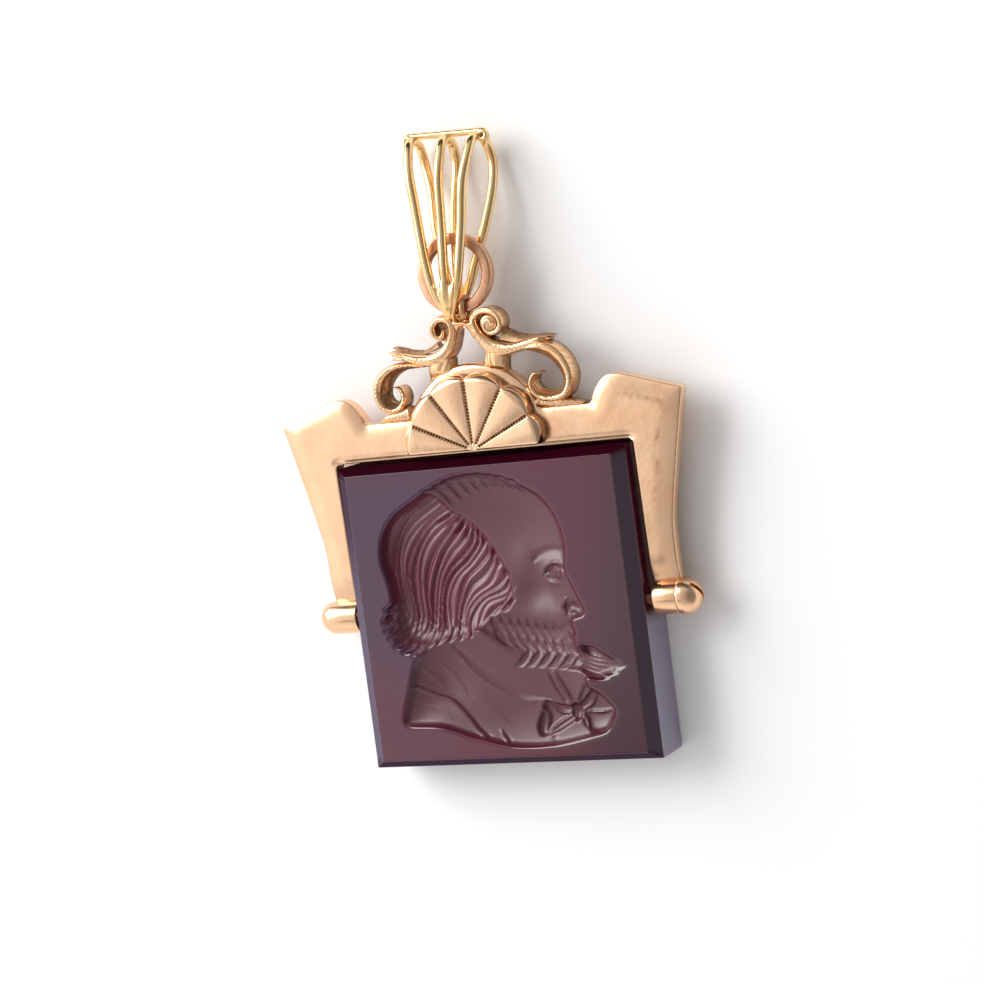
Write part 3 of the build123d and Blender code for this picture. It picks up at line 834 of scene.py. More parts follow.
def build_scroll(side):
    parts = Parts()
    hi, lo = 0.95, -0.70
    right = side > 0

    def add(rows, fn, z_low, step=0.065, across=16, dark_top=0.0, dark_span=0.8, grain=0.0, inner=0.0):
        """band, darker down its flanks as painted shade, with patina in its strokes and painted shade inside the curl
        where inner is set
        """
        v, f = band(rows, fn, z_low, step, across)
        n_top = len(v)
        d = np.clip((hi - 0.62 - v[:, 2]) / dark_span, 0, 1) * 0.95 + dark_top
        if grain:
            phase = (v[:, 0] * 0.82 + v[:, 1] * 1.15) / grain
            cut = 0.5 + 0.5 * np.cos(2 * math.pi * phase + 1.1 * np.sin(5.0 * v[:, 1] + 3.0 * v[:, 0]))
            d = np.maximum(d, 0.28 * cut ** 3)
        if inner:
            mid_ = smooth_rows(rows, 8)[:, :2]
            ctr = np.array([5.98, 16.4]) if right else np.array([6.3, 16.4])
            near = np.linalg.norm(v[:, None, :2] - mid_[None], axis=2)
            k = near.argmin(1)
            inward = np.linalg.norm(v[:, :2] - ctr, axis=1) < np.linalg.norm(mid_[k] - ctr, axis=1)
            w_ = np.interp(k, np.arange(len(mid_)), smooth_rows(rows, 8)[:, 2])
            a_ = np.clip(near.min(1) / np.maximum(w_, 0.05), 0, 1)
            d = np.maximum(d, inward * inner * step01((a_ - 0.20) / 0.15))
            d = np.maximum(d, inward * 0.9 * np.exp(-((a_ - 0.30) / 0.07) ** 2))
        v = np.array(v)
        if not right:
            v[:, 0] *= -1
            f = [t[::-1] for t in f]
        parts.add(v, f, np.clip(d, 0, 1))

    # C-scroll: a round chased back outside, a smooth lower slope inside
    def c_top(S, A, x, y, w):
        # rows run clockwise on the right, so the inner side is a = -1
        k = np.clip(w / 0.45, 0.40, 1)
        back = np.clip((A + 0.30) / 0.55, 0, 1)
        z = 0.92 - (1 - np.sin(back * math.pi / 2)) * 0.24 * k
        z -= (1 - quarter((1 - A) / 0.62)) * (0.24 + 0.34 * k)
        slope = np.clip((-0.30 - A) / 0.70, 0, 1)
        z -= 0.16 * k * step01((-0.26 - A) / 0.10) + 0.40 * k * slope ** 1.2
        z -= (1 - k) * 0.30
        live = step01((S - 0.06) / 0.1) * (1 - step01((S - 0.93) / 0.05))
        return z + chase(S, A, x, y, w, 0.034) * live * (A > -0.22)

    add(C_RIGHT if right else C_LEFT, c_top, lo + 0.04, 0.060, 22, grain=0.30, inner=0.20 if right else 0.80)

    # leaf, neck and volute
    def s_top(S, A, x, y, w):
        round_ = quarter((1 - np.abs(A)) / 0.95)
        lift = 0.12 * step01((S - 0.5) / 0.4)
        z = 0.36 + lift + 0.48 * round_ * np.clip(w / 0.34, 0.35, 1)
        z -= 0.12 * np.exp(-((A - 0.30) / 0.12) ** 2) * (1 - step01((S - 0.62) / 0.1))
        live = (1 - step01((S - 0.46) / 0.08)) * step01((S - 0.04) / 0.1)
        return np.minimum(z, hi) + chase(S, A, x, y, w, 0.030, 0.32) * live

    add(S_RIGHT if right else S_LEFT, s_top, lo + 0.02, 0.050, 14, grain=0.32)

    # ground of the volute
    cx, cy, rx, ry = (2.02, 20.50, 1.02, 0.98) if right else (1.66, 20.42, 0.86, 0.84)
    n = 72
    rings = [(0.96, -0.66), (1.00, -0.55), (1.00, 0.18), (0.97, 0.24), (0.86, 0.26), (0.72, 0.27), (0.66, 0.34), (0.60, 0.52),
             (0.54, 0.60), (0.40, 0.63), (0.20, 0.65)] if right else \
        [(0.96, -0.66), (1.00, -0.55), (1.00, 0.20), (0.96, 0.27), (0.75, 0.30)]
    verts = [(cx, cy, -0.66)]
    for r, z in rings:
        verts += [(cx + r * rx * math.cos(q), cy + r * ry * math.sin(q), z)
                  for q in np.arange(n) * 2 * math.pi / n]
    verts.append((cx, cy, rings[-1][1]))
    f = [(0, 1 + (i + 1) % n, 1 + i) for i in range(n)]
    for k in range(len(rings) - 1):
        for i in range(n):
            a, b = 1 + k * n + i, 1 + k * n + (i + 1) % n
            f.append((a, b, b + n, a + n))
    last = len(verts) - 1
    f += [(last, 1 + (len(rings) - 1) * n + i, 1 + (len(rings) - 1) * n + (i + 1) % n) for i in range(n)]
    verts = np.array(verts)
    # painted shade: the volute's ground is darkened, on the right all but its raised boss
    dk = np.where(verts[:, 2] > 0.50, 0.30, 1.0) if right else np.where(verts[:, 2] > 0.15, 1.0, 0.6)
    if not right:
        verts[:, 0] *= -1
        f = [t[::-1] for t in f]
    parts.add(verts, f, dk)

    # leaf behind the blade: lower, tipping back, its colour darkened all over as painted shadow
    if right:
        leaf = [(2.85, 19.62, 0.40), (3.50, 19.36, 0.34), (4.20, 19.16, 0.26),
                (5.10, 19.12, 0.17), (6.00, 19.18, 0.10), (6.70, 19.12, 0.02)]
    else:
        leaf = [(2.30, 19.36, 0.20), (3.00, 19.02, 0.16), (3.80, 18.90, 0.14),
                (4.60, 19.00, 0.14), (5.20, 19.22, 0.11), (5.86, 19.50, 0.02)]
    add(leaf, lambda S, A, x, y, w: 0.40 - 0.40 * (A + 1) / 2 - 0.05 * np.abs(A), lo + 0.10, 0.065, 8,
        dark_top=0.45)

    # leaf points
    tips = [[(5.10, 18.86, 0.16), (5.60, 19.02, 0.12), (6.18, 19.18, 0.02)],
            [(5.00, 18.66, 0.17), (5.50, 18.66, 0.12), (6.06, 18.62, 0.02)]] if not right else \
        [[(5.40, 18.98, 0.16), (5.86, 19.08, 0.12), (6.30, 19.10, 0.02)],
         [(5.70, 18.74, 0.17), (6.16, 18.66, 0.14), (6.66, 18.50, 0.02)]]
    for rows in tips:
        add(rows, lambda S, A, x, y, w: (0.58 if right else 0.34) + 0.36 * quarter((1 - np.abs(A)) / 0.9) * np.clip(w / 0.12, 0.3, 1),
            lo + 0.12, 0.05, 8, dark_top=0.10)

    # stem growing out of the arch into the scroll
    stem = [(1.96, 16.75, 0.88), (2.02, 17.20, 0.80), (2.10, 17.65, 0.74), (2.20, 18.08, 0.74), (2.32, 18.50, 0.70)] if right else \
        [(2.32, 16.75, 1.00), (2.28, 17.20, 0.94), (2.22, 17.62, 0.88), (2.14, 18.02, 0.84), (2.06, 18.42, 0.80)]
    add(stem, lambda S, A, x, y, w: 0.10 + 0.40 * step01(S / 0.5) + 0.24 * quarter((1 - np.abs(A)) / 1.0)
        - 0.05 * np.exp(-((A + 0.25 - 0.8 * S) / 0.14) ** 2)
        - 0.04 * np.exp(-((A - 0.45 - 0.5 * S) / 0.12) ** 2), lo + 0.06, 0.05, 24, dark_top=0.06, dark_span=0.6)

    # foot on the ledge, stepped, with its leaf point
    foot = [(4.95, 14.66, 0.50), (5.50, 14.52, 0.42), (6.40, 14.42, 0.34),
            (7.30, 14.34, 0.24), (8.05, 14.26, 0.13), (8.45, 14.24, 0.04)] if right else \
        [(5.20, 14.66, 0.50), (5.70, 14.56, 0.46), (6.30, 14.50, 0.40),
         (6.90, 14.44, 0.30), (7.35, 14.36, 0.16), (7.60, 14.32, 0.04)]
    add(foot, lambda S, A, x, y, w: 0.34 + 0.34 * quarter((1 - np.abs(A)) / 0.9) * np.clip(w / 0.30, 0.3, 1)
        + chase(S, A, x, y, w, 0.05, 0.32), lo + 0.10, 0.06, 10, dark_top=0.05, grain=0.32)
    return parts.build("scroll_right" if right else "scroll_left", yoke, GOLD_SCROLL, sharp=70)


def build_eye():
    parts = Parts()
    a = np.arange(64) * 2 * math.pi / 64
    r_ = EYE_R * 0.80
    path = np.stack([np.full(64, EYE_X), EYE_Y + r_ * np.cos(a), r_ * np.sin(a)], 1)
    v, f = tube(path, EYE_WIRE * 0.85, 20, closed=True)
    parts.add(v, f, np.full(len(v), 0.40))
    # bridge: a web that grows out of both volutes, hollow below
    outline = smooth_rows([(-0.75, 19.55), (-0.50, 19.95), (-0.30, 20.28), (0.02, 20.46), (0.34, 20.26), (0.52, 19.95),
                           (0.72, 19.55), (1.02, 19.70), (1.02, 20.30), (0.90, 20.80), (0.55, 20.72), (0.15, 20.84), (-0.25, 20.90),
                           (-0.65, 20.98), (-0.98, 20.80), (-1.00, 20.30), (-0.95, 19.75), (-0.75, 19.55)], 6)[:-1]
    v, f = pillow(outline, lambda x, y, d: 0.36 + 0.30 * quarter(d / 0.26) + 0.10 * step01((y - 20.2) / 0.5),
                  lambda x, y, d: -0.45 + 0.10 * (1 - quarter(d / 0.2)), [0.03, 0.08, 0.15, 0.24], 0.12)
    # painted shade: the bridge darkens towards its underside
    parts.add(v, f, np.clip((0.45 - v[:, 2]) / 0.7, 0, 1) * 0.9)
    rows = [(EYE_X, 20.40, 0.34), (EYE_X, 20.68, 0.28), (EYE_X, 20.94, 0.22)]
    v, f = band(rows, lambda S, A, x, y, w: 0.30 - 0.14 * S + 0.26 * quarter((1 - np.abs(A)) / 0.9), -0.34, 0.06, 12)
    parts.add(v, f, np.full(len(v), 0.2))
    return parts.build("yoke_eye", yoke, GOLD_SCROLL, sharp=60)


# ------------------------------------------------------------------ ring
def build_ring():
    parts = Parts()
    n = 192
    c = RING_SEC / 2
    rr = 0.20
    prof = []
    for cx, cy, a0 in ((c - rr, c - rr, 0), (-(c - rr), c - rr, 90), (-(c - rr), -(c - rr), 180), (c - rr, -(c - rr), 270)):
        for a in np.linspace(a0, a0 + 90, 6):
            prof.append((cx + rr * math.cos(math.radians(a)), cy + rr * math.sin(math.radians(a))))
    # the section is scaled in by one part in a hundred
    m = len(prof)
    verts, faces = [], []
    for i in range(n):
        a = 2 * math.pi * i / n
        for x, z in prof:
            r = RING_MEAN_R + x * 0.99
            verts.append((r * math.cos(a), r * math.sin(a), z * 0.99))
    for i in range(n):
        k = (i + 1) % n
        for j in range(m):
            q = (j + 1) % m
            faces.append((i * m + j, k * m + j, k * m + q, i * m + q))
    verts = np.array(verts)
    turn = np.arctan2(verts[:, 1], verts[:, 0])
    rad = np.hypot(verts[:, 0], verts[:, 1])
    # painted shade: the face darkens towards one side of the loop, broken up by a streaky pattern, and the inner wall
    # is darkened
    face_ = step01((RING_MEAN_R + c * 0.86 - rad) / 0.08)
    side_ = 0.5 + 0.5 * np.cos(turn - 0.35)
    shade_streaks = 0.5 + 0.5 * np.sin(31 * turn + 7 * rad) * np.sin(13 * turn - 23 * rad)
    dk = face_ * (0.08 + 0.54 * side_ ** 1.3) * (0.75 + 0.25 * shade_streaks)
    dk = np.maximum(dk, 0.80 * (rad < RING_MEAN_R - c + 0.05))
    parts.add(verts, faces, np.clip(dk, 0, 1))
    return parts.build("jump_ring_round", ring_place, GOLD_RING, sharp=60, slot="red_gold")


# ------------------------------------------------------------------ bail
def build_bail():
    parts = Parts()
    w = BAIL_WIRE / 2
    front_d = [(0.10, 0.90), (1.0, 1.20), (2.5, 1.40), (3.9, 1.46), (5.8, 1.47), (7.7, 1.57), (9.1, 1.62), (10.3, 1.38), (11.4, 0.74)]
    back_d = [(0.10, 0.88), (1.0, 0.86), (2.5, 0.80), (3.9, 0.74), (5.8, 0.70), (7.7, 0.93), (8.7, 1.14), (9.7, 1.38), (10.6, 1.54), (11.4, 1.26)]
    lines = (
        ([(0.10, -0.50), (1.0, -0.92), (2.0, -1.15), (3.0, -1.34), (4.5, -1.60), (5.9, -1.79), (7.8, -2.01), (9.0, -2.19), (10.2, -2.42), (11.5, -2.60)],
         [(0.10, -0.40), (2.0, -0.80), (4.0, -1.20), (6.4, -1.58), (7.9, -1.74), (9.05, -2.02), (10.05, -2.42), (11.5, -2.62)]),
        ([(0.10, 0.0), (11.5, 0.0)], [(0.10, 0.0), (11.5, 0.0)]),
        ([(0.10, 0.38), (1.0, 0.74), (2.4, 1.08), (3.8, 1.30), (5.2, 1.48), (7.0, 1.65), (8.65, 1.82), (10.0, 2.06), (11.3, 2.30)],
         [(0.10, 0.32), (1.7, 0.92), (3.4, 1.52), (4.7, 2.02), (5.7, 2.36), (7.1, 2.72), (8.5, 2.94), (9.4, 2.95), (10.6, 2.84), (11.4, 2.62)]),
    )

    def at(rows, u):
        line = smooth_rows(rows, 10)
        return np.interp(u, line[:, 0], line[:, 1])

    ups = np.array([0.10, 1.0, 2.4, 3.9, 5.8, 7.6, 9.0, 10.2])
    downs = np.array([10.3, 9.4, 8.4, 7.0, 5.4, 3.6, 2.0, 0.9, 0.10])
    for fx, bx in lines:
        front_ = np.stack([at(fx, ups), ups, at(front_d, ups)], 1)
        back_ = np.stack([at(bx, downs), downs, -at(back_d, downs)], 1)
        xa, xb = fx[-1][1], bx[-1][1]
        crown = np.array([(xa * 0.97, 11.12, 1.06), (xa, 11.90, 0.70), ((xa + xb) / 2 * 1.02, 12.46, 0.0),
                          (xb * 0.98, 12.08, -0.78), (xb * 1.0, 11.60, -1.22), (float(at(bx, 10.95)), 10.95, -1.46)])
        # under the ring: round the lug
        foot_ = [(-0.80 * math.sin(t), 0.82 * math.cos(t)) for t in np.linspace(0.5, math.pi - 0.5, 5)]
        foot_ = np.array([(front_[0, 0] * 0.42, a, b) for a, b in foot_])[::-1]
        path = np.concatenate([front_, crown, back_, foot_])
        path = resample(smooth_rows(np.concatenate([path[-2:], path, path[:3]]), 8)[16:-16], 0.12)[:-1]
        for _ in range(28):
            k = 0.5 * step01((path[:, 1:2] - 7.2) / 1.4)
            path = path + k * (0.5 * (np.roll(path, 1, 0) + np.roll(path, -1, 0)) - path)
        slim = step01((path[:, 1] - 0.2) / 2.6)
        v, f = tube(path, w * (0.62 + 0.50 * slim), 20, closed=True)
        parts.add(v, f)
    # V face at the foot, front and back: it closes the wires to a point
    for s in (1, -1):
        n, m = 60, 61
        t = np.linspace(0, 1, n)
        a = np.linspace(-1, 1, m)
        T, A = np.meshgrid(t, a, indexing="ij")
        # upper edge scalloped between the wires
        top_u = 1.75 - 0.0 * A + 0.30 * A + 0.30 * np.cos(A * 2 * math.pi)
        U = -0.62 + (top_u + 0.62) * T
        lx = np.interp(U, [-0.62, -0.30, 0.10, 1.0, 2.0, 3.0], [0.02, -0.22, -0.50, -0.92, -1.15, -1.34])
        rx = np.interp(U, [-0.62, -0.30, 0.10, 1.0, 2.0, 3.0], [0.08, 0.22, 0.38, 0.74, 0.98, 1.16])
        Xf = lx + (rx - lx) * (A + 1) / 2
        depth = at(front_d, np.clip(U, 0.10, 3)) if s > 0 else at(back_d, np.clip(U, 0.10, 3))
        face = np.where(U < 0.10, np.sqrt(np.clip(1.02 ** 2 - (U - 0.10) ** 2, 0.2, None)) - 1.02 + depth, depth)
        groove = 0.035 * np.cos(A * 2 * math.pi)
        s_flat = 1.0 if s > 0 else 0.0
        side_ = np.clip((1 - np.abs(A)) / 0.16, 0, 1)
        front = np.stack([Xf, U, face + 0.10 + 0.17 * quarter(side_) + groove * np.clip(T * 2, 0, 1)
                          + s_flat * 0.15 * np.sin(math.pi * np.clip(T, 0, 1)) * (1 - A ** 4)], -1)
        rear = np.stack([Xf, U, face - 0.14], -1)
        verts = np.concatenate([front.reshape(-1, 3), rear.reshape(-1, 3)])
        q = n * m
        faces = []
        for i in range(n - 1):
            for j in range(m - 1):
                c = i * m + j
                faces.append((c, c + 1, c + m + 1, c + m))
                faces.append((q + c, q + c + m, q + c + m + 1, q + c + 1))
        ring = [(0, j) for j in range(m)] + [(i, m - 1) for i in range(1, n)] + \
            [(n - 1, j) for j in range(m - 2, -1, -1)] + [(i, 0) for i in range(n - 2, 0, -1)]
        ids = [i * m + j for i, j in ring]
        for a1, b1 in zip(ids, ids[1:] + ids[:1]):
            faces.append((b1, a1, q + a1, q + b1))
        if s < 0:
            verts = verts * (1, 1, -1)
            faces = [t_[::-1] for t_ in faces]
        parts.add(verts, faces)
    # cross bar with a beaded eyelet at each end
    xs = np.linspace(-BAR_HALF, BAR_HALF, 40)
    path = np.stack([xs, np.full(40, BAIL_LEN + 0.20), np.zeros(40)], 1)
    v, f = tube(path, BAR_D / 2 + 0.02, 20)
    parts.add(v, f)
    for s in (-1, 1):
        a = np.arange(36) * 2 * math.pi / 36
        path = np.stack([s * (BAR_HALF - 0.02) + 0.27 * np.cos(a), BAIL_LEN - 0.12 + 0.27 * np.sin(a),
                         0.20 + 0 * a], 1)
        v, f = tube(path, 0.17, 14, closed=True)
        parts.add(v, f, np.clip(1 - np.hypot(v[:, 0] - s * (BAR_HALF - 0.02), v[:, 1] - BAIL_LEN + 0.12) / 0.2, 0, 1))
        path = np.stack([s * (BAR_HALF - 0.02) + 0.22 * np.cos(a), BAIL_LEN - 0.12 + 0.22 * np.sin(a),
                         -0.18 + 0 * a], 1)
        v, f = tube(path, 0.20, 14, closed=True)
        parts.add(v, f)
    # lug for the ring
    e = 0.06
    hw, r_in, r_out = 0.20, LUG_HOLE, 0.90
    prof = []
    for cx, cr, a0 in ((hw - e, r_out - e, 0), (-(hw - e), r_out - e, 90), (-(hw - e), r_in + e, 180), (hw - e, r_in + e, 270)):
        for a in np.linspace(a0, a0 + 90, 5):
            prof.append((cx + e * math.cos(math.radians(a)), cr + e * math.sin(math.radians(a))))
    v, f = lathe(prof, 72, closed=True)
    parts.add(v, [t for t in f])
    return parts.build("bail_loops", bail_place, GOLD_BAIL, sharp=60)


# ------------------------------------------------------------------ screw
def build_screw():
    x1 = BARREL_R_END + 0.03
    rise = HEAD_L - HEAD_RIM
    prof = [(x1, 0), (x1, HEAD_R - 0.08), (x1 + 0.03, HEAD_R - 0.02), (x1 + 0.08, HEAD_R)]
    prof += [(x1 + HEAD_RIM * t, HEAD_R) for t in (0.5, 0.9)]
    for a in np.linspace(0, math.pi / 2, 22)[:-1]:
        r = HEAD_R * math.cos(a)
        x = x1 + HEAD_RIM + rise * math.sin(a) ** 1.05
        prof.append((x, r))
    prof.append((x1 + HEAD_L, 0))
    v, f = lathe(prof, 96)
    parts = Parts()
    parts.add(v, f)
    ob = parts.build("screw_head", yoke, GOLD, sharp=50)
    # the slot
    cut = bpy.data.meshes.new("slot_cut")
    L, H, D = 4.0, 0.30, 0.62
    c = [(x, y, z) for x in (x1 + HEAD_L - D, x1 + HEAD_L + 1) for y in (-L, L) for z in (-H / 2, H / 2)]
    c = world(yoke(rot_x(np.array(c), SLOT_TURN)))
    cut.from_pydata([tuple(p) for p in c], [], [(0, 1, 3, 2), (4, 6, 7, 5), (0, 4, 5, 1), (2, 3, 7, 6), (0, 2, 6, 4), (1, 5, 7, 3)])
    co = bpy.data.objects.new("slot_cut", cut)
    bpy.context.scene.collection.objects.link(co)
    apply_boolean(ob, co)
    # shank
    tip = STONE_W / 2 - 2.05
    v, f = lathe([(tip, 0), (tip, 0.44), (tip + 0.06, 0.50), (x1 + 0.05, 0.50), (x1 + 0.05, 0)], 48)
    p2 = Parts()
    p2.add(v, f)
    p2.build("screw_shank", yoke, GOLD, sharp=40)
    return ob


SLOT_TURN = 35.0


def apply_boolean(ob, cutter, solver="EXACT"):
    md = ob.modifiers.new("cut", "BOOLEAN")
    md.object = cutter
    md.operation = "DIFFERENCE"
    md.solver = solver
    dg = bpy.context.evaluated_depsgraph_get()
    me = bpy.data.meshes.new_from_object(ob.evaluated_get(dg))
    ob.modifiers.clear()
    ob.data = me
    bpy.data.objects.remove(cutter)
    me.set_sharp_from_angle(angle=math.radians(35))


# ------------------------------------------------------------------ stone
def signed(p, poly, per=6):
    """distance to a smoothed closed outline, positive inside"""
    rows = np.asarray(poly, float)
    ring = np.concatenate([rows[-2:], rows, rows[:2]])
    line = smooth_rows(ring, per)[2 * per:-2 * per + per]
    d = line_distance(p, line, True)
    return np.where(inside(p, line), d, -d)


def along(p, rows, per=8):
    """nearest point on a smoothed curve: distance with sign (left +), half
    width there, and the share of its length, only near the curve"""
    line = smooth_rows(rows, per)
    xy = line[:, :2]
    reach = (line[:, 2].max() if line.shape[1] > 2 else 1.0) + 0.05
    lo_, hi_ = xy.min(0) - reach, xy.max(0) + reach
    idx = np.nonzero((p[:, 0] > lo_[0]) & (p[:, 0] < hi_[0]) & (p[:, 1] > lo_[1]) & (p[:, 1] < hi_[1]))[0]
    q = p[idx]
    best = np.full(len(q), 1e9)
    sign, at = np.ones(len(q)), np.zeros(len(q))
    seg = np.hypot(*np.diff(xy, axis=0).T)
    cum = np.concatenate([[0], np.cumsum(seg)])
    wid = np.zeros(len(q))
    for i in range(len(xy) - 1):
        a, b = xy[i], xy[i + 1]
        ab = b - a
        k = ab @ ab
        if k < 1e-12:
            continue
        t = np.clip(((q - a) @ ab) / k, 0, 1)
        d = q - a - t[:, None] * ab
        dd = d[:, 0] ** 2 + d[:, 1] ** 2
        better = dd < best
        best = np.where(better, dd, best)
        sign = np.where(better, np.sign(ab[0] * d[:, 1] - ab[1] * d[:, 0]), sign)
        at = np.where(better, (cum[i] + t * seg[i]) / cum[-1], at)
        if line.shape[1] > 2:
            wid = np.where(better, line[i, 2] * (1 - t) + line[i + 1, 2] * t, wid)
    return idx, np.sqrt(best) * np.where(sign == 0, 1, sign), wid, at


def lay(out, p, rows, low, amp, hairs=0, cut=0.06, sink=0.08, soft=0.10, grooves=None, cover=None):
    """one tapered lock laid over what is there; low is the level of its edge,
    a number or a field; hairs are grooves along it"""
    idx, d, w, s = along(p, rows)
    w = np.maximum(w, 1e-3)
    m = np.abs(d) < w
    idx, d, w, s = idx[m], d[m], w[m], s[m]
    a = d / w
    full = np.clip(w / max(r[2] for r in rows), 0, 1)
    z = amp * full ** 0.6 * (1 - a * a) ** 0.75
    if hairs:
        z = z - cut * full * (0.5 + 0.5 * np.cos(2 * math.pi * hairs * (a + 1) / 2 + 0.7 * np.sin(5 * s))) ** 1.6 * step01(s / 0.10)
    c = step01((w - np.abs(d)) / soft)
    lv = low[idx] if isinstance(low, np.ndarray) else low
    z = lv + z
    out[idx] = np.maximum(out[idx] - sink * c, z * c + np.minimum(out[idx], z) * (1 - c))
    if grooves is not None:
        g = step01((np.abs(a) - 0.55) / 0.4) * c
        grooves[idx] = np.maximum(grooves[idx] * (1 - c), g)
    if cover is not None:
        cover[idx] = np.maximum(cover[idx], c)


def ridge(h, p, rows, amp):
    """soft ridge (or groove, when amp is below zero) along a curve"""
    idx, d, w, s = along(p, rows)
    a = np.clip(np.abs(d) / np.maximum(w, 1e-3), 0, 1)
    h[idx] += amp * (1 - a * a) ** 2


def mound(h, p, c, r, amp, turn=0.0):
    t = math.radians(turn)
    dx, dy = p[:, 0] - c[0], p[:, 1] - c[1]
    u = (dx * math.cos(t) + dy * math.sin(t)) / r[0]
    v = (-dx * math.sin(t) + dy * math.cos(t)) / r[1]
    h += amp * np.exp(-(u * u + v * v) * 1.4)


# side hair: guides from the hairline to the nape
HAIR_FLOW = [
    [(-4.6, 8.35), (-6.2, 7.65), (-7.45, 6.65), (-8.15, 5.3), (-8.30, 4.0), (-8.05, 2.6), (-7.9, 1.4), (-8.1, 0.4)],
    [(-4.3, 7.95), (-5.9, 7.2), (-7.1, 6.1), (-7.7, 4.8), (-7.85, 3.4), (-7.65, 2.0), (-7.5, 1.0), (-7.7, 0.1)],
    [(-3.9, 7.6), (-5.4, 6.8), (-6.5, 5.7), (-7.1, 4.4), (-7.3, 3.0), (-7.2, 1.6), (-7.1, 0.5), (-7.35, -0.5)],
    [(-3.2, 7.35), (-4.6, 6.5), (-5.8, 5.3), (-6.5, 4.0), (-6.8, 2.5), (-6.75, 1.1), (-6.7, -0.1), (-7.1, -1.2)],
    [(-2.55, 7.05), (-3.8, 6.1), (-5.1, 4.9), (-5.9, 3.5), (-6.2, 2.0), (-6.25, 0.6), (-6.35, -0.6), (-6.9, -1.8)],
    [(-2.25, 6.55), (-3.2, 5.6), (-4.4, 4.5), (-5.2, 3.1), (-5.6, 1.7), (-5.7, 0.3), (-5.85, -0.9), (-6.5, -2.2)],
    [(-1.85, 6.35), (-2.5, 5.2), (-3.6, 4.15), (-4.55, 2.8), (-5.0, 1.3), (-5.15, 0.0), (-5.2, -1.1), (-5.6, -2.2)],
    [(-1.35, 6.15), (-1.55, 5.0), (-2.6, 3.85), (-3.75, 2.75), (-4.45, 1.2), (-4.65, -0.2), (-4.65, -1.2), (-4.9, -2.0)],
    [(-0.85, 5.6), (-0.85, 4.6), (-1.8, 3.4), (-3.0, 2.45), (-3.8, 1.0), (-4.05, -0.2), (-4.1, -1.2), (-4.3, -1.9)],
    [(-0.25, 4.7), (-0.30, 3.8), (-1.15, 2.85), (-2.4, 2.05), (-3.2, 0.8), (-3.5, -0.3), (-3.5, -1.2), (-3.6, -1.9)],
    [(0.20, 3.8), (0.10, 3.0), (-0.7, 2.15), (-1.9, 1.45), (-2.65, 0.4), (-2.95, -0.6), (-2.95, -1.3), (-3.0, -1.9)],
    [(0.65, 3.0), (0.60, 2.2), (-0.1, 1.45), (-1.3, 0.85), (-2.1, 0.0), (-2.45, -0.8), (-2.5, -1.4), (-2.5, -1.9)],
    [(0.98, 2.0), (0.85, 1.2), (0.2, 0.65), (-0.8, 0.25), (-1.6, -0.4), (-1.95, -1.0), (-2.0, -1.4), (-2.0, -1.8)],
    [(0.90, 0.9), (0.60, 0.4), (0.1, 0.05), (-0.5, -0.2), (-1.1, -0.6), (-1.4, -1.0), (-1.5, -1.3), (-1.5, -1.6)],
]
HAIR_SIDE = [
    (-4.2, 8.75), (-5.9, 8.1), (-7.0, 7.45), (-7.8, 6.55), (-8.30, 5.5), (-8.46, 4.25),
    (-8.20, 3.0), (-8.02, 1.9), (-8.05, 1.0), (-8.45, 0.35), (-8.3, -1.0), (-7.7, -1.9),
    (-6.8, -2.3), (-5.6, -2.2), (-4.6, -1.9), (-3.6, -1.85), (-2.6, -1.85), (-1.9, -1.45),
    (-1.2, -0.75), (-0.4, -0.35), (0.45, -0.1), (0.95, 0.6), (1.05, 1.6), (0.80, 2.7),
    (0.35, 3.7), (-0.15, 4.7), (-0.75, 5.6), (-1.35, 6.35), (-2.2, 7.0), (-3.1, 7.6),
]
HEAD = [
    (2.70, 9.22), (1.4, 9.75), (0.0, 10.0), (-1.2, 10.0), (-2.4, 9.8), (-4.0, 9.12), (-5.9, 8.12),
    (-7.0, 7.47), (-7.82, 6.57), (-8.32, 5.5), (-8.48, 4.25), (-8.22, 3.0), (-8.04, 1.9),
    (-8.05, 0.9), (-8.2, 0.0), (-8.1, -1.2), (-7.4, -2.0), (-6.4, -2.3), (-4.6, -2.0), (-3.0, -1.9),
    (-2.0, -1.5), (-1.2, -1.9), (0.3, -3.1), (1.6, -3.9), (3.2, -4.35), (4.8, -4.65), (6.2, -4.8),
    (7.0, -4.7),
]
# the face is a plain classical one on the usual thirds, turned a little down
FACE = [
    (7.30, -4.2), (7.00, -3.55), (6.60, -2.98), (6.20, -2.52), (6.22, -2.12), (6.20, -1.90),
    (6.02, -1.72), (6.24, -1.52), (6.28, -1.30), (6.08, -1.02), (5.98, -0.72), (6.05, -0.42),
    (6.40, -0.30), (6.84, -0.16), (7.02, 0.12), (6.95, 0.46), (6.62, 1.10), (6.22, 1.95),
    (5.90, 2.70), (5.72, 3.25), (5.76, 3.75), (5.86, 4.30), (5.84, 5.00), (5.70, 5.80),
    (5.40, 6.70), (4.92, 7.55), (4.28, 8.30), (3.50, 8.85),
]
FACE_TURN, FACE_PIVOT = -3.5, (-1.0, 1.0)
COAT = [
    (-6.2, -2.6), (-6.9, -3.6), (-7.5, -5.2), (-8.0, -6.5), (-8.32, -7.5), (-8.15, -7.98),
    (-7.2, -8.08), (-5.8, -8.15), (-4.8, -8.38), (-3.4, -8.9), (-2.0, -9.30), (-0.8, -9.62), (0.4, -9.84),
    (2.0, -9.90), (3.8, -9.80), (5.5, -9.50), (7.0, -9.15), (7.6, -8.9), (8.1, -8.2), (8.42, -7.45),
    (8.0, -6.9), (7.3, -6.2), (6.5, -5.6), (6.4, -4.6), (5.0, -3.2), (2.0, -2.0),
    (-2.0, -0.6), (-5.0, -1.0),
]


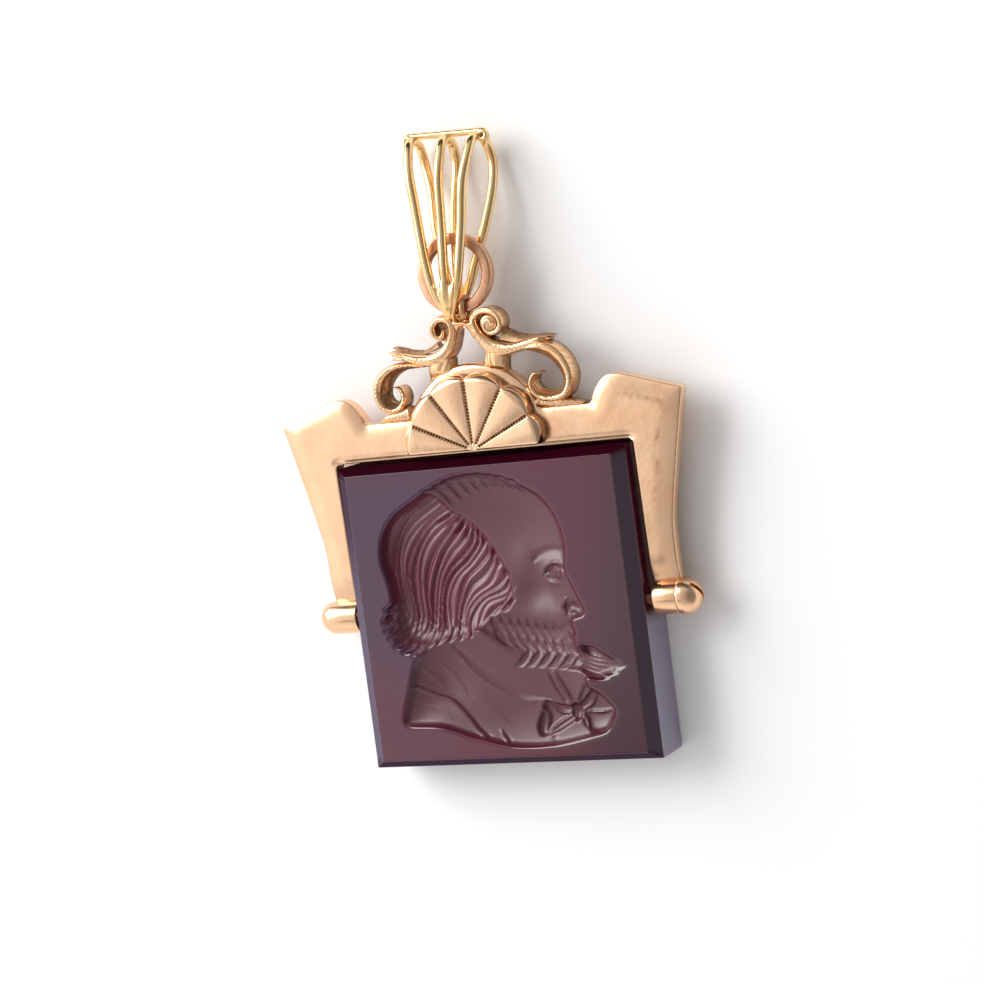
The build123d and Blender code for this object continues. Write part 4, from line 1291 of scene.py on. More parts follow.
def turned(pts, back=False):
    a = math.radians(-FACE_TURN if back else FACE_TURN)
    q = np.asarray(pts, float)[:, :2] - FACE_PIVOT
    c, s = math.cos(a), math.sin(a)
    return np.stack([q[:, 0] * c - q[:, 1] * s, q[:, 0] * s + q[:, 1] * c], 1) + FACE_PIVOT


def tr(rows):
    rows = np.asarray(rows, float)
    xy = turned(rows)
    return [tuple(xy[i]) + tuple(rows[i][2:]) for i in range(len(rows))]


def blur(z, sigma):
    """Gaussian smoothing of a grid"""
    n = int(3 * sigma) + 1
    k = np.exp(-0.5 * (np.arange(-n, n + 1) / sigma) ** 2)
    k /= k.sum()
    q = np.pad(z, n, mode="edge")
    q = sum(k[i] * q[i:i + z.shape[0], :] for i in range(2 * n + 1))
    return sum(k[i] * q[:, i:i + z.shape[1]] for i in range(2 * n + 1))


def flow_coords(p, mask):
    """v across the guides (0, 1, 2 ...) and u along them, inside the mask"""
    idx = np.nonzero(mask)[0]
    q = p[idx]
    n = len(HAIR_FLOW)
    sd = np.zeros((n, len(q)))
    at = np.zeros((n, len(q)))
    for g, rows in enumerate(HAIR_FLOW):
        line = smooth_rows(rows, 6)
        # run both ends on a little so that the sides stay clear
        line = np.concatenate([[line[0] + (line[0] - line[1]) * 8], line, [line[-1] + (line[-1] - line[-2]) * 8]])
        seg = np.hypot(*np.diff(line, axis=0).T)
        cum = np.concatenate([[0], np.cumsum(seg)])
        best = np.full(len(q), 1e9)
        sg, t_at = np.ones(len(q)), np.zeros(len(q))
        for i in range(len(line) - 1):
            a, b = line[i], line[i + 1]
            ab = b - a
            k = ab @ ab
            t = np.clip(((q - a) @ ab) / k, 0, 1)
            d = q - a - t[:, None] * ab
            dd = d[:, 0] ** 2 + d[:, 1] ** 2
            m = dd < best
            best = np.where(m, dd, best)
            sg = np.where(m, np.sign(ab[0] * d[:, 1] - ab[1] * d[:, 0]), sg)
            t_at = np.where(m, (cum[i] + t * seg[i]) / cum[-1], t_at)
        sd[g], at[g] = np.sqrt(best) * sg, t_at
    v = np.full(len(q), -1.0)
    u = np.zeros(len(q))
    best = np.full(len(q), 1e9)
    for g in range(n - 1):
        # left of this guide, right of the next (guides run down, the next lies inward)
        a, b = sd[g], -sd[g + 1]
        ok = (a >= 0) & (b >= 0)
        tot = a + b
        take = ok & (tot < best)
        v = np.where(take, g + a / np.maximum(tot, 1e-9), v)
        u = np.where(take, at[g] * b / np.maximum(tot, 1e-9) + at[g + 1] * a / np.maximum(tot, 1e-9), u)
        best = np.where(take, tot, best)
    none = v < 0
    near = np.abs(sd).argmin(0)
    v = np.where(none, near + 0.0, v)
    u = np.where(none, at[near, np.arange(len(q))], u)
    return idx, v, u


def carve(X, Y):
    """depth of the cutting in mm below the table, its cover, and its grooves"""
    shape = X.shape
    p = np.stack([X.ravel(), Y.ravel()], 1)

    def soft(z, sigma):
        return blur(z.reshape(shape), sigma).ravel()

    outline = HEAD + [tuple(q) for q in turned(FACE)]
    sd_head = signed(p, outline)
    sd_coat = signed(p, COAT)
    grooves = np.zeros(len(p))
    # big masses
    d = np.maximum(sd_head, 0)
    h = soft(0.34 + 0.78 * quarter(d / 5.0) ** 0.9, 5)
    h = h - 0.14 * np.clip(1 - d / 0.6, 0, 1) ** 2
    # ---- face
    f = np.zeros(len(p))
    q = turned(p, back=True)
    mound(f, q, (3.1, 1.5), (1.7, 1.3), 0.15, 20)
    mound(f, q, (2.0, 6.6), (3.0, 1.9), 0.06)
    mound(f, q, (2.1, 3.7), (1.0, 1.3), -0.06)
    mound(f, q, (3.3, -0.3), (1.4, 1.0), -0.05)
    mound(f, q, (4.75, 2.95), (1.15, 0.80), -0.30, 14)
    ridge(f, q, [(5.85, 4.02, 0.40), (5.25, 4.28, 0.50), (4.35, 4.34, 0.52), (3.45, 4.00, 0.42), (2.9, 3.6, 0.25)], 0.05)
    # front planes: nose side and the fall of the cheek towards it
    front = step01((q[:, 0] - 3.9) / 1.5) * step01((3.4 - q[:, 1]) / 1.0) * step01((q[:, 1] + 0.9) / 0.8)
    f -= 0.17 * front
    mound(f, q, (5.80, 0.36), (0.56, 0.46), 0.22, -15)
    mound(f, q, (6.55, 0.20), (0.50, 0.42), 0.12)
    ridge(f, q, [(5.46, 0.98, 0.08), (5.18, 0.60, 0.18), (5.16, 0.18, 0.20), (5.40, -0.20, 0.12)], -0.14)
    ridge(f, q, [(5.80, -0.10, 0.10), (6.08, -0.08, 0.15), (6.40, -0.12, 0.10)], -0.15)
    ridge(f, q, [(6.00, 2.60, 0.20), (6.30, 1.80, 0.26), (6.62, 1.05, 0.30), (6.80, 0.50, 0.30)], 0.07)
    # eye in profile: lids meet behind, the ball shows in front
    ball = np.clip(1 - ((q[:, 0] - 4.55) / 0.80) ** 2 - ((q[:, 1] - 2.78) / 0.62) ** 2, 0, 1)
    f += 0.24 * np.sqrt(ball)
    ridge(f, q, [(3.66, 2.55, 0.05), (4.00, 2.88, 0.13), (4.50, 3.17, 0.18), (5.02, 3.24, 0.20), (5.42, 3.10, 0.12)], 0.15)
    ridge(f, q, [(3.72, 2.95, 0.06), (4.10, 3.34, 0.11), (4.70, 3.60, 0.13), (5.30, 3.52, 0.10)], -0.09)
    ridge(f, q, [(3.62, 2.50, 0.05), (4.10, 2.32, 0.11), (4.60, 2.25, 0.13), (5.12, 2.36, 0.09)], 0.08)
    ridge(f, q, [(3.85, 2.14, 0.10), (4.40, 1.93, 0.18), (5.00, 2.00, 0.12)], -0.05)
    ridge(f, q, [(4.96, 3.06, 0.05), (4.84, 2.78, 0.07), (4.90, 2.50, 0.05)], -0.05)
    # brow hairs
    for k in range(9):
        t = k / 8
        bx, by = 5.62 - 2.45 * t, 4.20 + 0.30 * math.sin(math.pi * (0.25 + 0.62 * t)) - 0.30 * t
        ridge(f, q, [(bx + 0.12, by - 0.15, 0.05), (bx - 0.08, by + 0.06, 0.11), (bx - 0.38, by + 0.10, 0.04)], 0.035)
    # lips, closed and at rest
    ridge(f, q, [(6.25, -1.38, 0.24), (5.70, -1.36, 0.22), (5.15, -1.60, 0.10)], 0.08)
    ridge(f, q, [(6.20, -1.71, 0.10), (5.65, -1.68, 0.11), (5.10, -1.74, 0.07)], -0.13)
    ridge(f, q, [(6.20, -2.02, 0.25), (5.65, -2.00, 0.24), (5.20, -1.90, 0.10)], 0.10)
    ridge(f, q, [(6.20, -2.48, 0.20), (5.70, -2.44, 0.25), (5.30, -2.34, 0.12)], -0.07)
    h = h + f * step01(sd_head / 0.5)
    # ---- coat, collar and throat
    coat = soft(0.20 + 0.50 * quarter(np.maximum(sd_coat, 0) / 3.2), 7)
    coat = coat - 0.10 * np.clip(1 - np.maximum(sd_coat, 0) / 0.5, 0, 1) ** 2
    c = np.zeros(len(p))
    mound(c, p, (-4.8, -5.2), (2.2, 1.8), 0.12)
    mound(c, p, (0.6, -7.4), (2.6, 1.8), 0.07)
    # lapel seam: a raised edge with the groove beside it
    seam = [(-7.4, -5.15), (-6.0, -5.85), (-4.6, -6.4), (-3.6, -7.4), (-2.7, -8.5), (-1.9, -9.25)]
    wd = (0.08, 0.13, 0.15, 0.16, 0.16, 0.10)
    ridge(c, p, [(a, b, w) for (a, b), w in zip(seam, wd)], -0.15)
    ridge(c, p, [(a + 0.18, b + 0.18, w * 1.2) for (a, b), w in zip(seam, wd)], 0.08)
    ridge(c, p, [(-0.98, -8.65, 0.03), (-0.6, -9.2, 0.14), (-0.2, -9.7, 0.10)], -0.14)
    ridge(c, p, [(-0.80, -8.65, 0.03), (-0.40, -9.15, 0.12), (0.0, -9.65, 0.08)], 0.07)
    # collar roll, fading at both ends
    ridge(c, p, [(-3.9, -2.4, 0.10), (-2.6, -3.6, 0.42), (-1.0, -4.9, 0.60), (1.0, -6.0, 0.55), (3.2, -6.6, 0.10)], 0.10)
    ridge(c, p, [(-3.4, -3.5, 0.05), (-2.4, -4.6, 0.14), (-0.9, -5.7, 0.17), (0.8, -6.5, 0.12), (1.9, -6.8, 0.03)], -0.09)
    ridge(c, p, [(3.7, -4.6, 0.04), (4.2, -5.5, 0.20), (4.8, -6.7, 0.12)], -0.14)
    ridge(c, p, [(3.3, -4.6, 0.05), (3.8, -5.7, 0.28), (4.4, -6.8, 0.14)], 0.09)
    ridge(c, p, [(6.5, -4.8, 0.05), (5.9, -5.7, 0.20), (5.3, -6.7, 0.12)], -0.14)
    ridge(c, p, [(6.9, -5.2, 0.05), (6.2, -5.9, 0.24), (5.5, -6.8, 0.12)], 0.08)
    # folds of the cloth
    ridge(c, p, [(-6.6, -3.8, 0.05), (-5.8, -4.6, 0.35), (-5.0, -5.5, 0.05)], -0.035)
    ridge(c, p, [(-5.2, -3.5, 0.05), (-4.2, -4.7, 0.40), (-3.4, -6.0, 0.05)], -0.035)
    ridge(c, p, [(-3.0, -6.2, 0.05), (-1.4, -7.3, 0.40), (-0.2, -8.4, 0.05)], -0.03)
    ridge(c, p, [(-6.8, -6.6, 0.05), (-5.6, -7.0, 0.30), (-4.6, -7.7, 0.05)], -0.03)
    # shirt studs
    mound(c, p, (3.3, -9.35), (0.22, 0.22), 0.06)
    coat = coat + c * step01(sd_coat / 0.4)
    # bow tie
    bow = np.zeros(len(p))
    for poly, top in (([(4.75, -7.25), (3.6, -6.95), (2.75, -6.75), (2.35, -7.6), (1.95, -8.5), (2.25, -9.25),
                        (3.3, -9.05), (4.2, -8.65), (4.85, -8.2)], 0.26),
                      ([(5.35, -7.15), (5.9, -6.6), (6.6, -6.0), (7.35, -6.15), (8.35, -7.35), (7.95, -8.3),
                        (7.4, -9.0), (6.5, -9.1), (5.85, -8.75), (5.5, -8.1)], 0.26)):
        s = signed(p, poly, 4)
        bow = np.maximum(bow, step01((s + 0.05) / 0.12) * (0.06 + top * quarter(np.maximum(s, 0) / 0.8)))
    g = np.zeros(len(p))
    for rows in ([(2.25, -7.1, 0.05), (2.8, -7.9, 0.20), (2.5, -8.9, 0.06)],
                 [(3.1, -6.9, 0.05), (3.7, -7.6, 0.18), (4.6, -7.7, 0.10)],
                 [(2.7, -9.1, 0.05), (3.6, -8.4, 0.18), (4.6, -7.9, 0.10)],
                 [(6.0, -8.9, 0.05), (5.80, -8.2, 0.17), (5.5, -7.7, 0.10)],
                 [(6.9, -6.1, 0.05), (6.4, -7.0, 0.18), (5.6, -7.5, 0.10)],
                 [(8.0, -7.5, 0.05), (7.0, -7.7, 0.18), (5.9, -7.65, 0.10)]):
        ridge(g, p, rows, -0.17)
    bow = np.maximum(bow + g * step01(bow / 0.10), 0)
    knot = np.clip(1 - ((p[:, 0] - 5.08) / 0.50) ** 2 - ((p[:, 1] + 7.62) / 0.66) ** 2, 0, 1)
    g = np.zeros(len(p))
    ridge(g, p, [(4.9, -7.1, 0.06), (4.98, -7.6, 0.10), (4.92, -8.2, 0.06)], -0.08)
    ridge(g, p, [(5.25, -7.1, 0.06), (5.28, -7.6, 0.10), (5.22, -8.2, 0.06)], -0.08)
    bow = np.maximum(bow, 0.44 * np.sqrt(knot) + g * np.sqrt(knot))
    coat = coat + bow
    # ---- side hair
    sd_side = signed(p, HAIR_SIDE)
    idx, v, u = flow_coords(p, sd_side > -0.30)
    env = step01((sd_side[idx] + 0.12) / 0.34)
    vv = v + 0.20 * np.sin(5.6 * u + 1.5 * v) + 0.06 * np.sin(13.5 * u - 2.6 * v)
    fr = vv - np.floor(vv)
    big = 1 - np.abs(2 * fr - 1) ** 2.0
    ph = 1.5 * vv + 0.10 * np.sin(8 * u + 1.9 * v)
    cell = np.floor(ph + 0.5)
    tone = 0.5 + 0.5 * np.sin(12.9898 * cell + 4.1)
    fine = (0.5 + 0.5 * np.cos(2 * math.pi * ph)) ** (1.5 + 0.8 * tone)
    third = (0.5 + 0.5 * np.cos(2 * math.pi * (1.0 * ph + 0.35 + 0.2 * np.sin(11 * u)))) ** 2
    hair = 0.05 + 0.08 * big + (0.125 + 0.070 * tone) * fine + 0.020 * third
    hair *= 0.50 + 0.50 * step01(u / 0.12)
    h[idx] += env * hair
    grooves[idx] = env * (0.35 + 0.65 * (1 - fine))
    # ---- join: the head stands over the coat
    cov_h, cov_c = step01((sd_head + 0.10) / 0.34), step01((sd_coat + 0.12) / 0.38)
    out = np.maximum(coat * cov_c, h * cov_h)
    cover = np.maximum(cov_h, cov_c)
    # ---- tips on the hairline
    base = out.copy()
    for g, rows in enumerate(HAIR_FLOW[3:], 3):
        x0, y0 = rows[0]
        x1, y1 = rows[1]
        for o in (-0.30, 0.02, 0.34):
            ax, ay = x0 + 0.42 * o, y0 - 0.45 * abs(o)
            lay(out, p, [(ax + 0.16, ay + 0.24, 0.02), (ax + 0.05, ay - 0.12, 0.10), ((ax + x1) / 2 + 0.16, (ay + y1) / 2, 0.13),
                         (x1 + 0.25 * o, y1 - 0.1, 0.04)], base - 0.02, 0.13, sink=0.0, soft=0.08)
    # ---- curls at the nape
    curls = [
        [(-7.0, 1.5, 0.10), (-7.6, 1.05, 0.24), (-8.2, 0.65, 0.24), (-8.85, 0.62, 0.03)],
        [(-6.8, 0.8, 0.10), (-7.7, 0.30, 0.30), (-8.5, -0.05, 0.28), (-9.15, -0.40, 0.03)],
        [(-6.7, 0.1, 0.12), (-7.6, -0.40, 0.32), (-8.3, -0.68, 0.30), (-9.05, -1.00, 0.03)],
        [(-6.6, -0.5, 0.12), (-7.3, -1.00, 0.32), (-8.0, -1.28, 0.30), (-8.80, -1.50, 0.03)],
        [(-6.4, -0.9, 0.12), (-7.0, -1.50, 0.32), (-7.7, -1.85, 0.30), (-8.45, -2.15, 0.03)],
        [(-6.1, -1.0, 0.12), (-6.6, -1.75, 0.30), (-7.1, -2.25, 0.28), (-7.85, -2.62, 0.03)],
        [(-5.7, -0.9, 0.12), (-6.05, -1.75, 0.30), (-6.4, -2.32, 0.26), (-7.05, -2.85, 0.03)],
        [(-5.2, -0.9, 0.12), (-5.40, -1.60, 0.28), (-5.7, -2.15, 0.24), (-6.30, -2.72, 0.03)],
        [(-4.6, -0.8, 0.12), (-4.65, -1.45, 0.27), (-4.9, -1.95, 0.22), (-5.45, -2.38, 0.03)],
        [(-3.9, -0.7, 0.12), (-3.85, -1.35, 0.26), (-4.0, -1.85, 0.22), (-4.50, -2.22, 0.03)],
        [(-3.2, -0.7, 0.12), (-3.05, -1.30, 0.25), (-3.15, -1.80, 0.20), (-3.60, -2.10, 0.03)],
        [(-2.5, -0.7, 0.12), (-2.30, -1.20, 0.23), (-2.30, -1.65, 0.18), (-2.65, -2.02, 0.03)],
    ]
    nape = np.clip(soft(out, 4) - 0.06, 0.34, 0.85)
    for rows in curls[::-1]:
        lay(out, p, rows, nape, 0.19, 3, 0.06, sink=0.09, soft=0.13, grooves=grooves, cover=cover)
    # ---- locks across the top
    top = 0.26 + 0.42 * step01(d / 1.8)
    for k in range(9):
        x0 = -4.10 + 0.80 * k
        y0 = np.interp(x0, [-4.1, -2.4, -1.2, 0.0, 1.4, 2.7], [9.00, 9.68, 9.88, 9.88, 9.62, 9.12])
        n = 1.45 - 0.05 * k
        lay(out, p, [(x0 - 0.20, y0 + 0.02, 0.16), (x0 + 0.35, y0 - 0.16, 0.34), (x0 + 0.62 * n, y0 - 0.52 * n, 0.30),
                     (x0 + n, y0 - 0.98 * n, 0.03)], top - 0.04, 0.20, 2, 0.07, sink=0.10, soft=0.16, grooves=grooves)
    # ---- beard
    jaw = [(-0.9, -0.45), (0.6, -0.35), (2.0, -0.62), (3.4, -0.95), (4.4, -1.15), (5.0, -1.75), (5.4, -2.3),
           (6.2, -2.55), (7.0, -3.1), (7.3, -4.2), (6.4, -4.8), (4.8, -4.65), (3.2, -4.35), (1.6, -3.9), (0.3, -3.1),
           (-1.1, -1.9), (-1.6, -1.2)]
    s = signed(p, jaw)
    out += 0.10 * step01((s + 0.1) / 0.5) * cov_h
    rows_ = []

    def wob(i, j):
        return 0.16 * math.sin(12.9 * i + 7.7 * j + 1.0)

    for k in range(9):
        t = k / 8
        x, y = 6.6 * t + wob(k, 1), wob(k, 2) * 0.6
        rows_.append((2, [(-0.7 + x, -0.90 - 1.75 * t + y, 0.12), (-0.42 + x, -1.55 - 1.55 * t + y, 0.38),
                          (0.12 + x, -2.25 - 1.25 * t + y, 0.36), (0.55 + x, -2.60 - 1.15 * t + y, 0.20),
                          (0.80 + 0.97 * x, -3.08 - 1.0 * t + y, 0.03)]))
    for k in range(7):
        t = k / 6
        x, y = 4.7 * t + wob(k, 3), wob(k, 4) * 0.5
        rows_.append((2, [(2.05 + x, -3.05 - 0.50 * t + y, 0.10), (1.85 + x, -3.50 - 0.52 * t + y, 0.34),
                          (1.42 + x, -3.95 - 0.46 * t + y, 0.31), (0.75 + x, -4.18 - 0.52 * t + y, 0.03)]))
    for k in range(9):
        t = k / 8
        x, y = 5.75 * t + wob(k, 5), wob(k, 6) * 0.5
        rows_.append((2, [(-0.9 + x, -0.40 - 0.85 * t ** 1.5 + y, 0.12), (-0.75 + x, -0.92 - 0.90 * t + y, 0.36),
                          (-0.25 + x, -1.50 - 0.95 * t + y, 0.36), (0.05 + x, -1.90 - 0.95 * t + y, 0.20),
                          (0.42 + 0.97 * x, -2.30 - 0.95 * t + y, 0.03)]))
    base = soft(out, 3)
    for n, rows in rows_:
        lay(out, p, rows, base - 0.06, 0.21, n, 0.07, sink=0.09, soft=0.14, grooves=grooves)
    # moustache
    for k in range(4):
        lay(out, p, tr([(6.10 - 0.20 * k, -0.62 - 0.02 * k, 0.06), (5.80 - 0.22 * k, -0.92 - 0.05 * k, 0.19),
                        (5.34 - 0.24 * k, -1.32 - 0.08 * k, 0.20), (4.95 - 0.22 * k, -2.10 - 0.10 * k, 0.03)]),
            base, 0.15, 2, 0.06, sink=0.05, grooves=grooves)
    # forward tuft
    tuft = [
        [(6.3, -2.70, 0.06), (6.8, -2.98, 0.18), (7.4, -3.16, 0.18), (8.05, -3.62, 0.03)],
        [(6.2, -3.00, 0.12), (6.9, -3.35, 0.28), (7.8, -3.60, 0.27), (8.75, -3.86, 0.04)],
        [(6.0, -3.3, 0.12), (6.8, -3.80, 0.30), (7.9, -4.02, 0.30), (9.35, -3.98, 0.04)],
        [(6.0, -3.6, 0.12), (6.9, -4.15, 0.30), (8.2, -4.36, 0.30), (9.65, -4.34, 0.04)],
        [(5.8, -3.9, 0.12), (6.7, -4.42, 0.30), (7.9, -4.66, 0.27), (9.05, -4.80, 0.04)],
        [(5.6, -4.1, 0.12), (6.4, -4.62, 0.28), (7.3, -4.92, 0.24), (8.35, -5.16, 0.04)],
    ]
    low = 0.26 + 0.36 * step01((8.6 - p[:, 0]) / 2.8)
    for rows in tuft:
        lay(out, p, rows, low, 0.19, 2, 0.07, sink=0.08, soft=0.13, grooves=grooves, cover=cover)
    out = soft(out, 0.75)
    grooves = soft(grooves, 0.9)
    rim = soft(np.clip(cover, 0, 1), 1.6)
    rim = 4 * rim * (1 - rim)
    curl = np.maximum(np.exp(-((p[:, 0] + 7.0) ** 2 + (p[:, 1] + 1.9) ** 2) / 4.8),
                      np.exp(-((p[:, 0] - 8.6) ** 2 + (p[:, 1] + 4.2) ** 2) / 1.7))
    mixed = np.clip(0.48 * rim + 0.9 * curl * rim + 0.25 * curl, 0, 1)
    out = out + mixed * (soft(out, 2.2) - out)
    grooves = grooves * (1 - 0.6 * curl)
    return (np.maximum(out, 0) * 1.22).reshape(shape), np.clip(cover, 0, 1).reshape(shape), \
        np.clip(grooves, 0, 1).reshape(shape)


def build_stone():
    TW, TH = STONE_W / 2 - BEVEL_X, STONE_H / 2 - BEVEL_Y
    nx, ny = 280, 275
    xs, ys = np.linspace(-TW, TW, nx + 1), np.linspace(-TH, TH, ny + 1)
    X, Y = np.meshgrid(xs, ys, indexing="ij")
    D, K, G = carve(X, Y)
    D, K, G = D.ravel(), K.ravel(), G.ravel()
    verts = np.stack([X.ravel(), Y.ravel(), STONE_T - D], 1)
    m = ny + 1
    faces = []
    for i in range(nx):
        for j in range(ny):
            a = i * m + j
            faces.append((a, a + m, a + m + 1, a + 1))
    ring = [(i, 0) for i in range(nx + 1)] + [(nx, j) for j in range(1, ny + 1)] + \
        [(i, ny) for i in range(nx - 1, -1, -1)] + [(0, j) for j in range(ny - 1, 0, -1)]
    ids = [i * m + j for i, j in ring]
    k = len(ids)
    flat = verts[ids][:, :2]
    ux, uy = flat[:, 0] / TW, flat[:, 1] / TH
    # (half width, half height, z) of each ring down the side
    W2, H2 = STONE_W / 2, STONE_H / 2
    e = 0.045
    levels = [(TW + e * 0.4, TH + e * 0.4, STONE_T - e * 0.12),
              (TW + e, TH + e, STONE_T - e * 0.8),
              (W2 - e, H2 - e, STONE_T - BEVEL_DEEP + e),
              (W2 - e * 0.25, H2 - e * 0.25, STONE_T - BEVEL_DEEP + e * 0.2),
              (W2, H2, STONE_T - BEVEL_DEEP - e),
              (W2, H2, 0.20 + e), (W2 - e * 0.3, H2 - e * 0.3, 0.20 - e * 0.3),
              (W2 - 0.20, H2 - 0.20, 0.0)]
    prev = ids
    allv = [verts]
    base = len(verts)
    for hw, hh, z in levels:
        allv.append(np.stack([ux * hw, uy * hh, np.full(k, z)], 1))
        cur = list(range(base, base + k))
        for a in range(k):
            b = (a + 1) % k
            faces.append((prev[a], cur[a], cur[b], prev[b]))
        prev = cur
        base += k
    faces.append(tuple(prev[::-1]))
    v = np.concatenate(allv)
    cut = np.concatenate([K, np.zeros(len(v) - len(K))])
    deep = np.concatenate([G, np.zeros(len(v) - len(D))])
    tone = np.ones(len(v))
    tx, ty = verts[:, 0], verts[:, 1]
    # painted shade: the table darkens towards its right part, less inside the cutting
    tone[:len(verts)] = 0.75 * step01((tx - 5.5 - 0.20 * ty) / 5.0) * (1 - 0.8 * K)
    warm = np.full(len(v), 0.5)
    warm[:len(verts)] = np.clip(0.10 + 0.75 * step01((-ty - 1.0 + 0.5 * np.sin(0.6 * tx)) / 7.0)
                                + 0.45 * step01((tx + 6) / 12.0) + 0.25 * step01((ty - 8.5) / 2.5), 0, 1)
    # painted shade: the bevels are darkened and the top side face under the bar darkest
    tone[len(verts):] = 0.9
    # painted reflection: the lower right side face and the bevels are lightened towards a pale blue-grey
    side = np.zeros(len(v))
    side[len(verts) + 4 * k:] = 0.75 * (v[len(verts) + 4 * k:, 0] > W2 - 0.25) \
        * step01((-0.5 - v[len(verts) + 4 * k:, 1]) / 1.4)
    side[len(verts) + 7 * k:] = 0.0
    tone[len(verts) + 4 * k:] = 0.0
    top_ = np.abs(v[:, 1] - H2) < 0.06
    top_[:len(verts)] = False
    side[top_] = 0.0
    tone[top_] = 1.0
    slant = np.zeros(len(v), bool)
    slant[len(verts):len(verts) + 4 * k] = True
    side[slant & (v[:, 0] > W2 - BEVEL_X)] = 0.10
    left_ = slant & (v[:, 0] < -(W2 - BEVEL_X))
    side[left_] = 0.12 + 0.20 * step01((8.0 - v[left_, 1]) / 8.0)
    side[slant & (v[:, 1] > H2 - BEVEL_Y)] = 0.0
    low_ = v[:, 1] < -(H2 - BEVEL_Y)
    low_[:len(verts)] = False
    low_[len(verts) + 4 * k:] = False
    side[low_] = 0.11
    ob = add_mesh("stone_block", world(v), faces, STONE, body=STONE_BODY, slot="carnelian",
                  sharp=30, attrs={"cut": cut, "deep": deep, "tone": tone, "side": side, "warm": warm})
    ob.data.materials.append(STONE_SIDE)
    ob.data.materials.append(STONE_EDGE)
    y_mid = SHIFT_Y * 0.001
    for poly in ob.data.polygons:
        c, no = poly.center, poly.normal
        if c.z < (STONE_T - BEVEL_DEEP) * 0.001 and abs(no.z) < 0.3:
            poly.material_index = 2 if no.y > 0.8 else 1
        elif abs(no.z) < 0.9 and (abs(c.y - y_mid) > (H2 - BEVEL_Y + 0.06) * 0.001
                                  or c.x < -(W2 - BEVEL_X + 0.06) * 0.001):
            poly.material_index = 2
    # pivot holes
    for s in (-1, 1):
        x0, x1 = s * (STONE_W / 2 - 2.17), s * (STONE_W / 2 + 0.6)
        pv, pf = lathe([(min(x0, x1), 0), (min(x0, x1), 0.54), (max(x0, x1), 0.54), (max(x0, x1), 0)], 40)
        me = bpy.data.meshes.new("pivot_hole")
        me.from_pydata([tuple(p) for p in world(pv + (0, 0, AXIS_Z))], [], pf)
        co = bpy.data.objects.new("pivot_hole", me)
        bpy.context.scene.collection.objects.link(co)
        apply_boolean(ob, co)
    return ob


plate = build_plate()
shell = build_shell()
scroll_r = build_scroll(1)
scroll_l = build_scroll(-1)
eye = build_eye()
ring = build_ring()
bail = build_bail()
screw = build_screw()
stone = build_stone()
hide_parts("yoke")
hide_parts("yoke")
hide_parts("yoke")
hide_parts("yoke")
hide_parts("yoke")
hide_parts("jump_ring")
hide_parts("bail")
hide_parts("pivot_screw")
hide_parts("stone")
pin = nodes["pivot_pin"]
pin.data.materials.clear()
pin.data.materials.append(GOLD)

# ------------------------------------------------------------------ floor
fm, fnt, fb = new_material("pale_floor")
fb.inputs["Base Color"].default_value = (0.95, 0.95, 0.948, 1)
fb.inputs["Roughness"].default_value = 0.85
fnoise = node(fnt, "ShaderNodeTexNoise")
fnoise.inputs["Scale"].default_value = 900.0
fbump = node(fnt, "ShaderNodeBump")
fbump.inputs["Strength"].default_value = 0.03
fbump.inputs["Distance"].default_value = 0.0001
fnt.links.new(fnoise.outputs["Fac"], fbump.inputs["Height"])
fnt.links.new(fbump.outputs[0], fb.inputs["Normal"])
me = bpy.data.meshes.new("floor")
S = 3.0
me.from_pydata([(-S, -S, 0), (S, -S, 0), (S, S, 0), (-S, S, 0)], [], [(0, 1, 2, 3)])
floor = bpy.data.objects.new("floor", me)
me.materials.append(fm)
bpy.context.scene.collection.objects.link(floor)

# ------------------------------------------------------------------ light
scene = bpy.context.scene
wd = bpy.data.worlds.new("studio")
scene.world = wd
wd.use_nodes = True
wn = wd.node_tree
wn.nodes.clear()
WL = wn.links.new
w_out = node(wn, "ShaderNodeOutputWorld")
w_tc = node(wn, "ShaderNodeTexCoord")


def lobe(direction, inner, outer):
    """1 within inner degrees of a direction, 0 beyond outer"""
    d = Vector(direction).normalized()
    dot = node(wn, "ShaderNodeVectorMath", operation="DOT_PRODUCT")
    dot.inputs[1].default_value = d
    WL(w_tc.outputs["Generated"], dot.inputs[0])
    mr = node(wn, "ShaderNodeMapRange", interpolation_type="SMOOTHSTEP")
    mr.inputs["From Min"].default_value = math.cos(math.radians(outer))
    mr.inputs["From Max"].default_value = math.cos(math.radians(inner))
    WL(dot.outputs["Value"], mr.inputs["Value"])
    return mr.outputs[0]


def blend_to(color, fac_socket, amount, new):
    mx = node(wn, "ShaderNodeMix", data_type="RGBA")
    gain = node(wn, "ShaderNodeMath", operation="MULTIPLY")
    gain.inputs[1].default_value = amount
    WL(fac_socket, gain.inputs[0])
    WL(gain.outputs[0], mx.inputs["Factor"])
    if isinstance(color, tuple):
        mx.inputs["A"].default_value = (*color, 1)
    else:
        WL(color, mx.inputs["A"])
    mx.inputs["B"].default_value = (*new, 1)
    return mx.outputs["Result"]


def slab(low, high, soft):
    """1 between two heights of the direction, 0 elsewhere"""
    sep = node(wn, "ShaderNodeSeparateXYZ")
    WL(w_tc.outputs["Generated"], sep.inputs[0])
    parts_ = []
    for a0, a1 in ((low - soft, low), (high + soft, high)):
        mr = node(wn, "ShaderNodeMapRange", interpolation_type="SMOOTHSTEP")
        mr.inputs["From Min"].default_value = a0
        mr.inputs["From Max"].default_value = a1
        WL(sep.outputs["Z"], mr.inputs["Value"])
        parts_.append(mr.outputs[0])
    mul = node(wn, "ShaderNodeMath", operation="MULTIPLY")
    WL(parts_[0], mul.inputs[0])
    WL(parts_[1], mul.inputs[1])
    return mul.outputs[0]


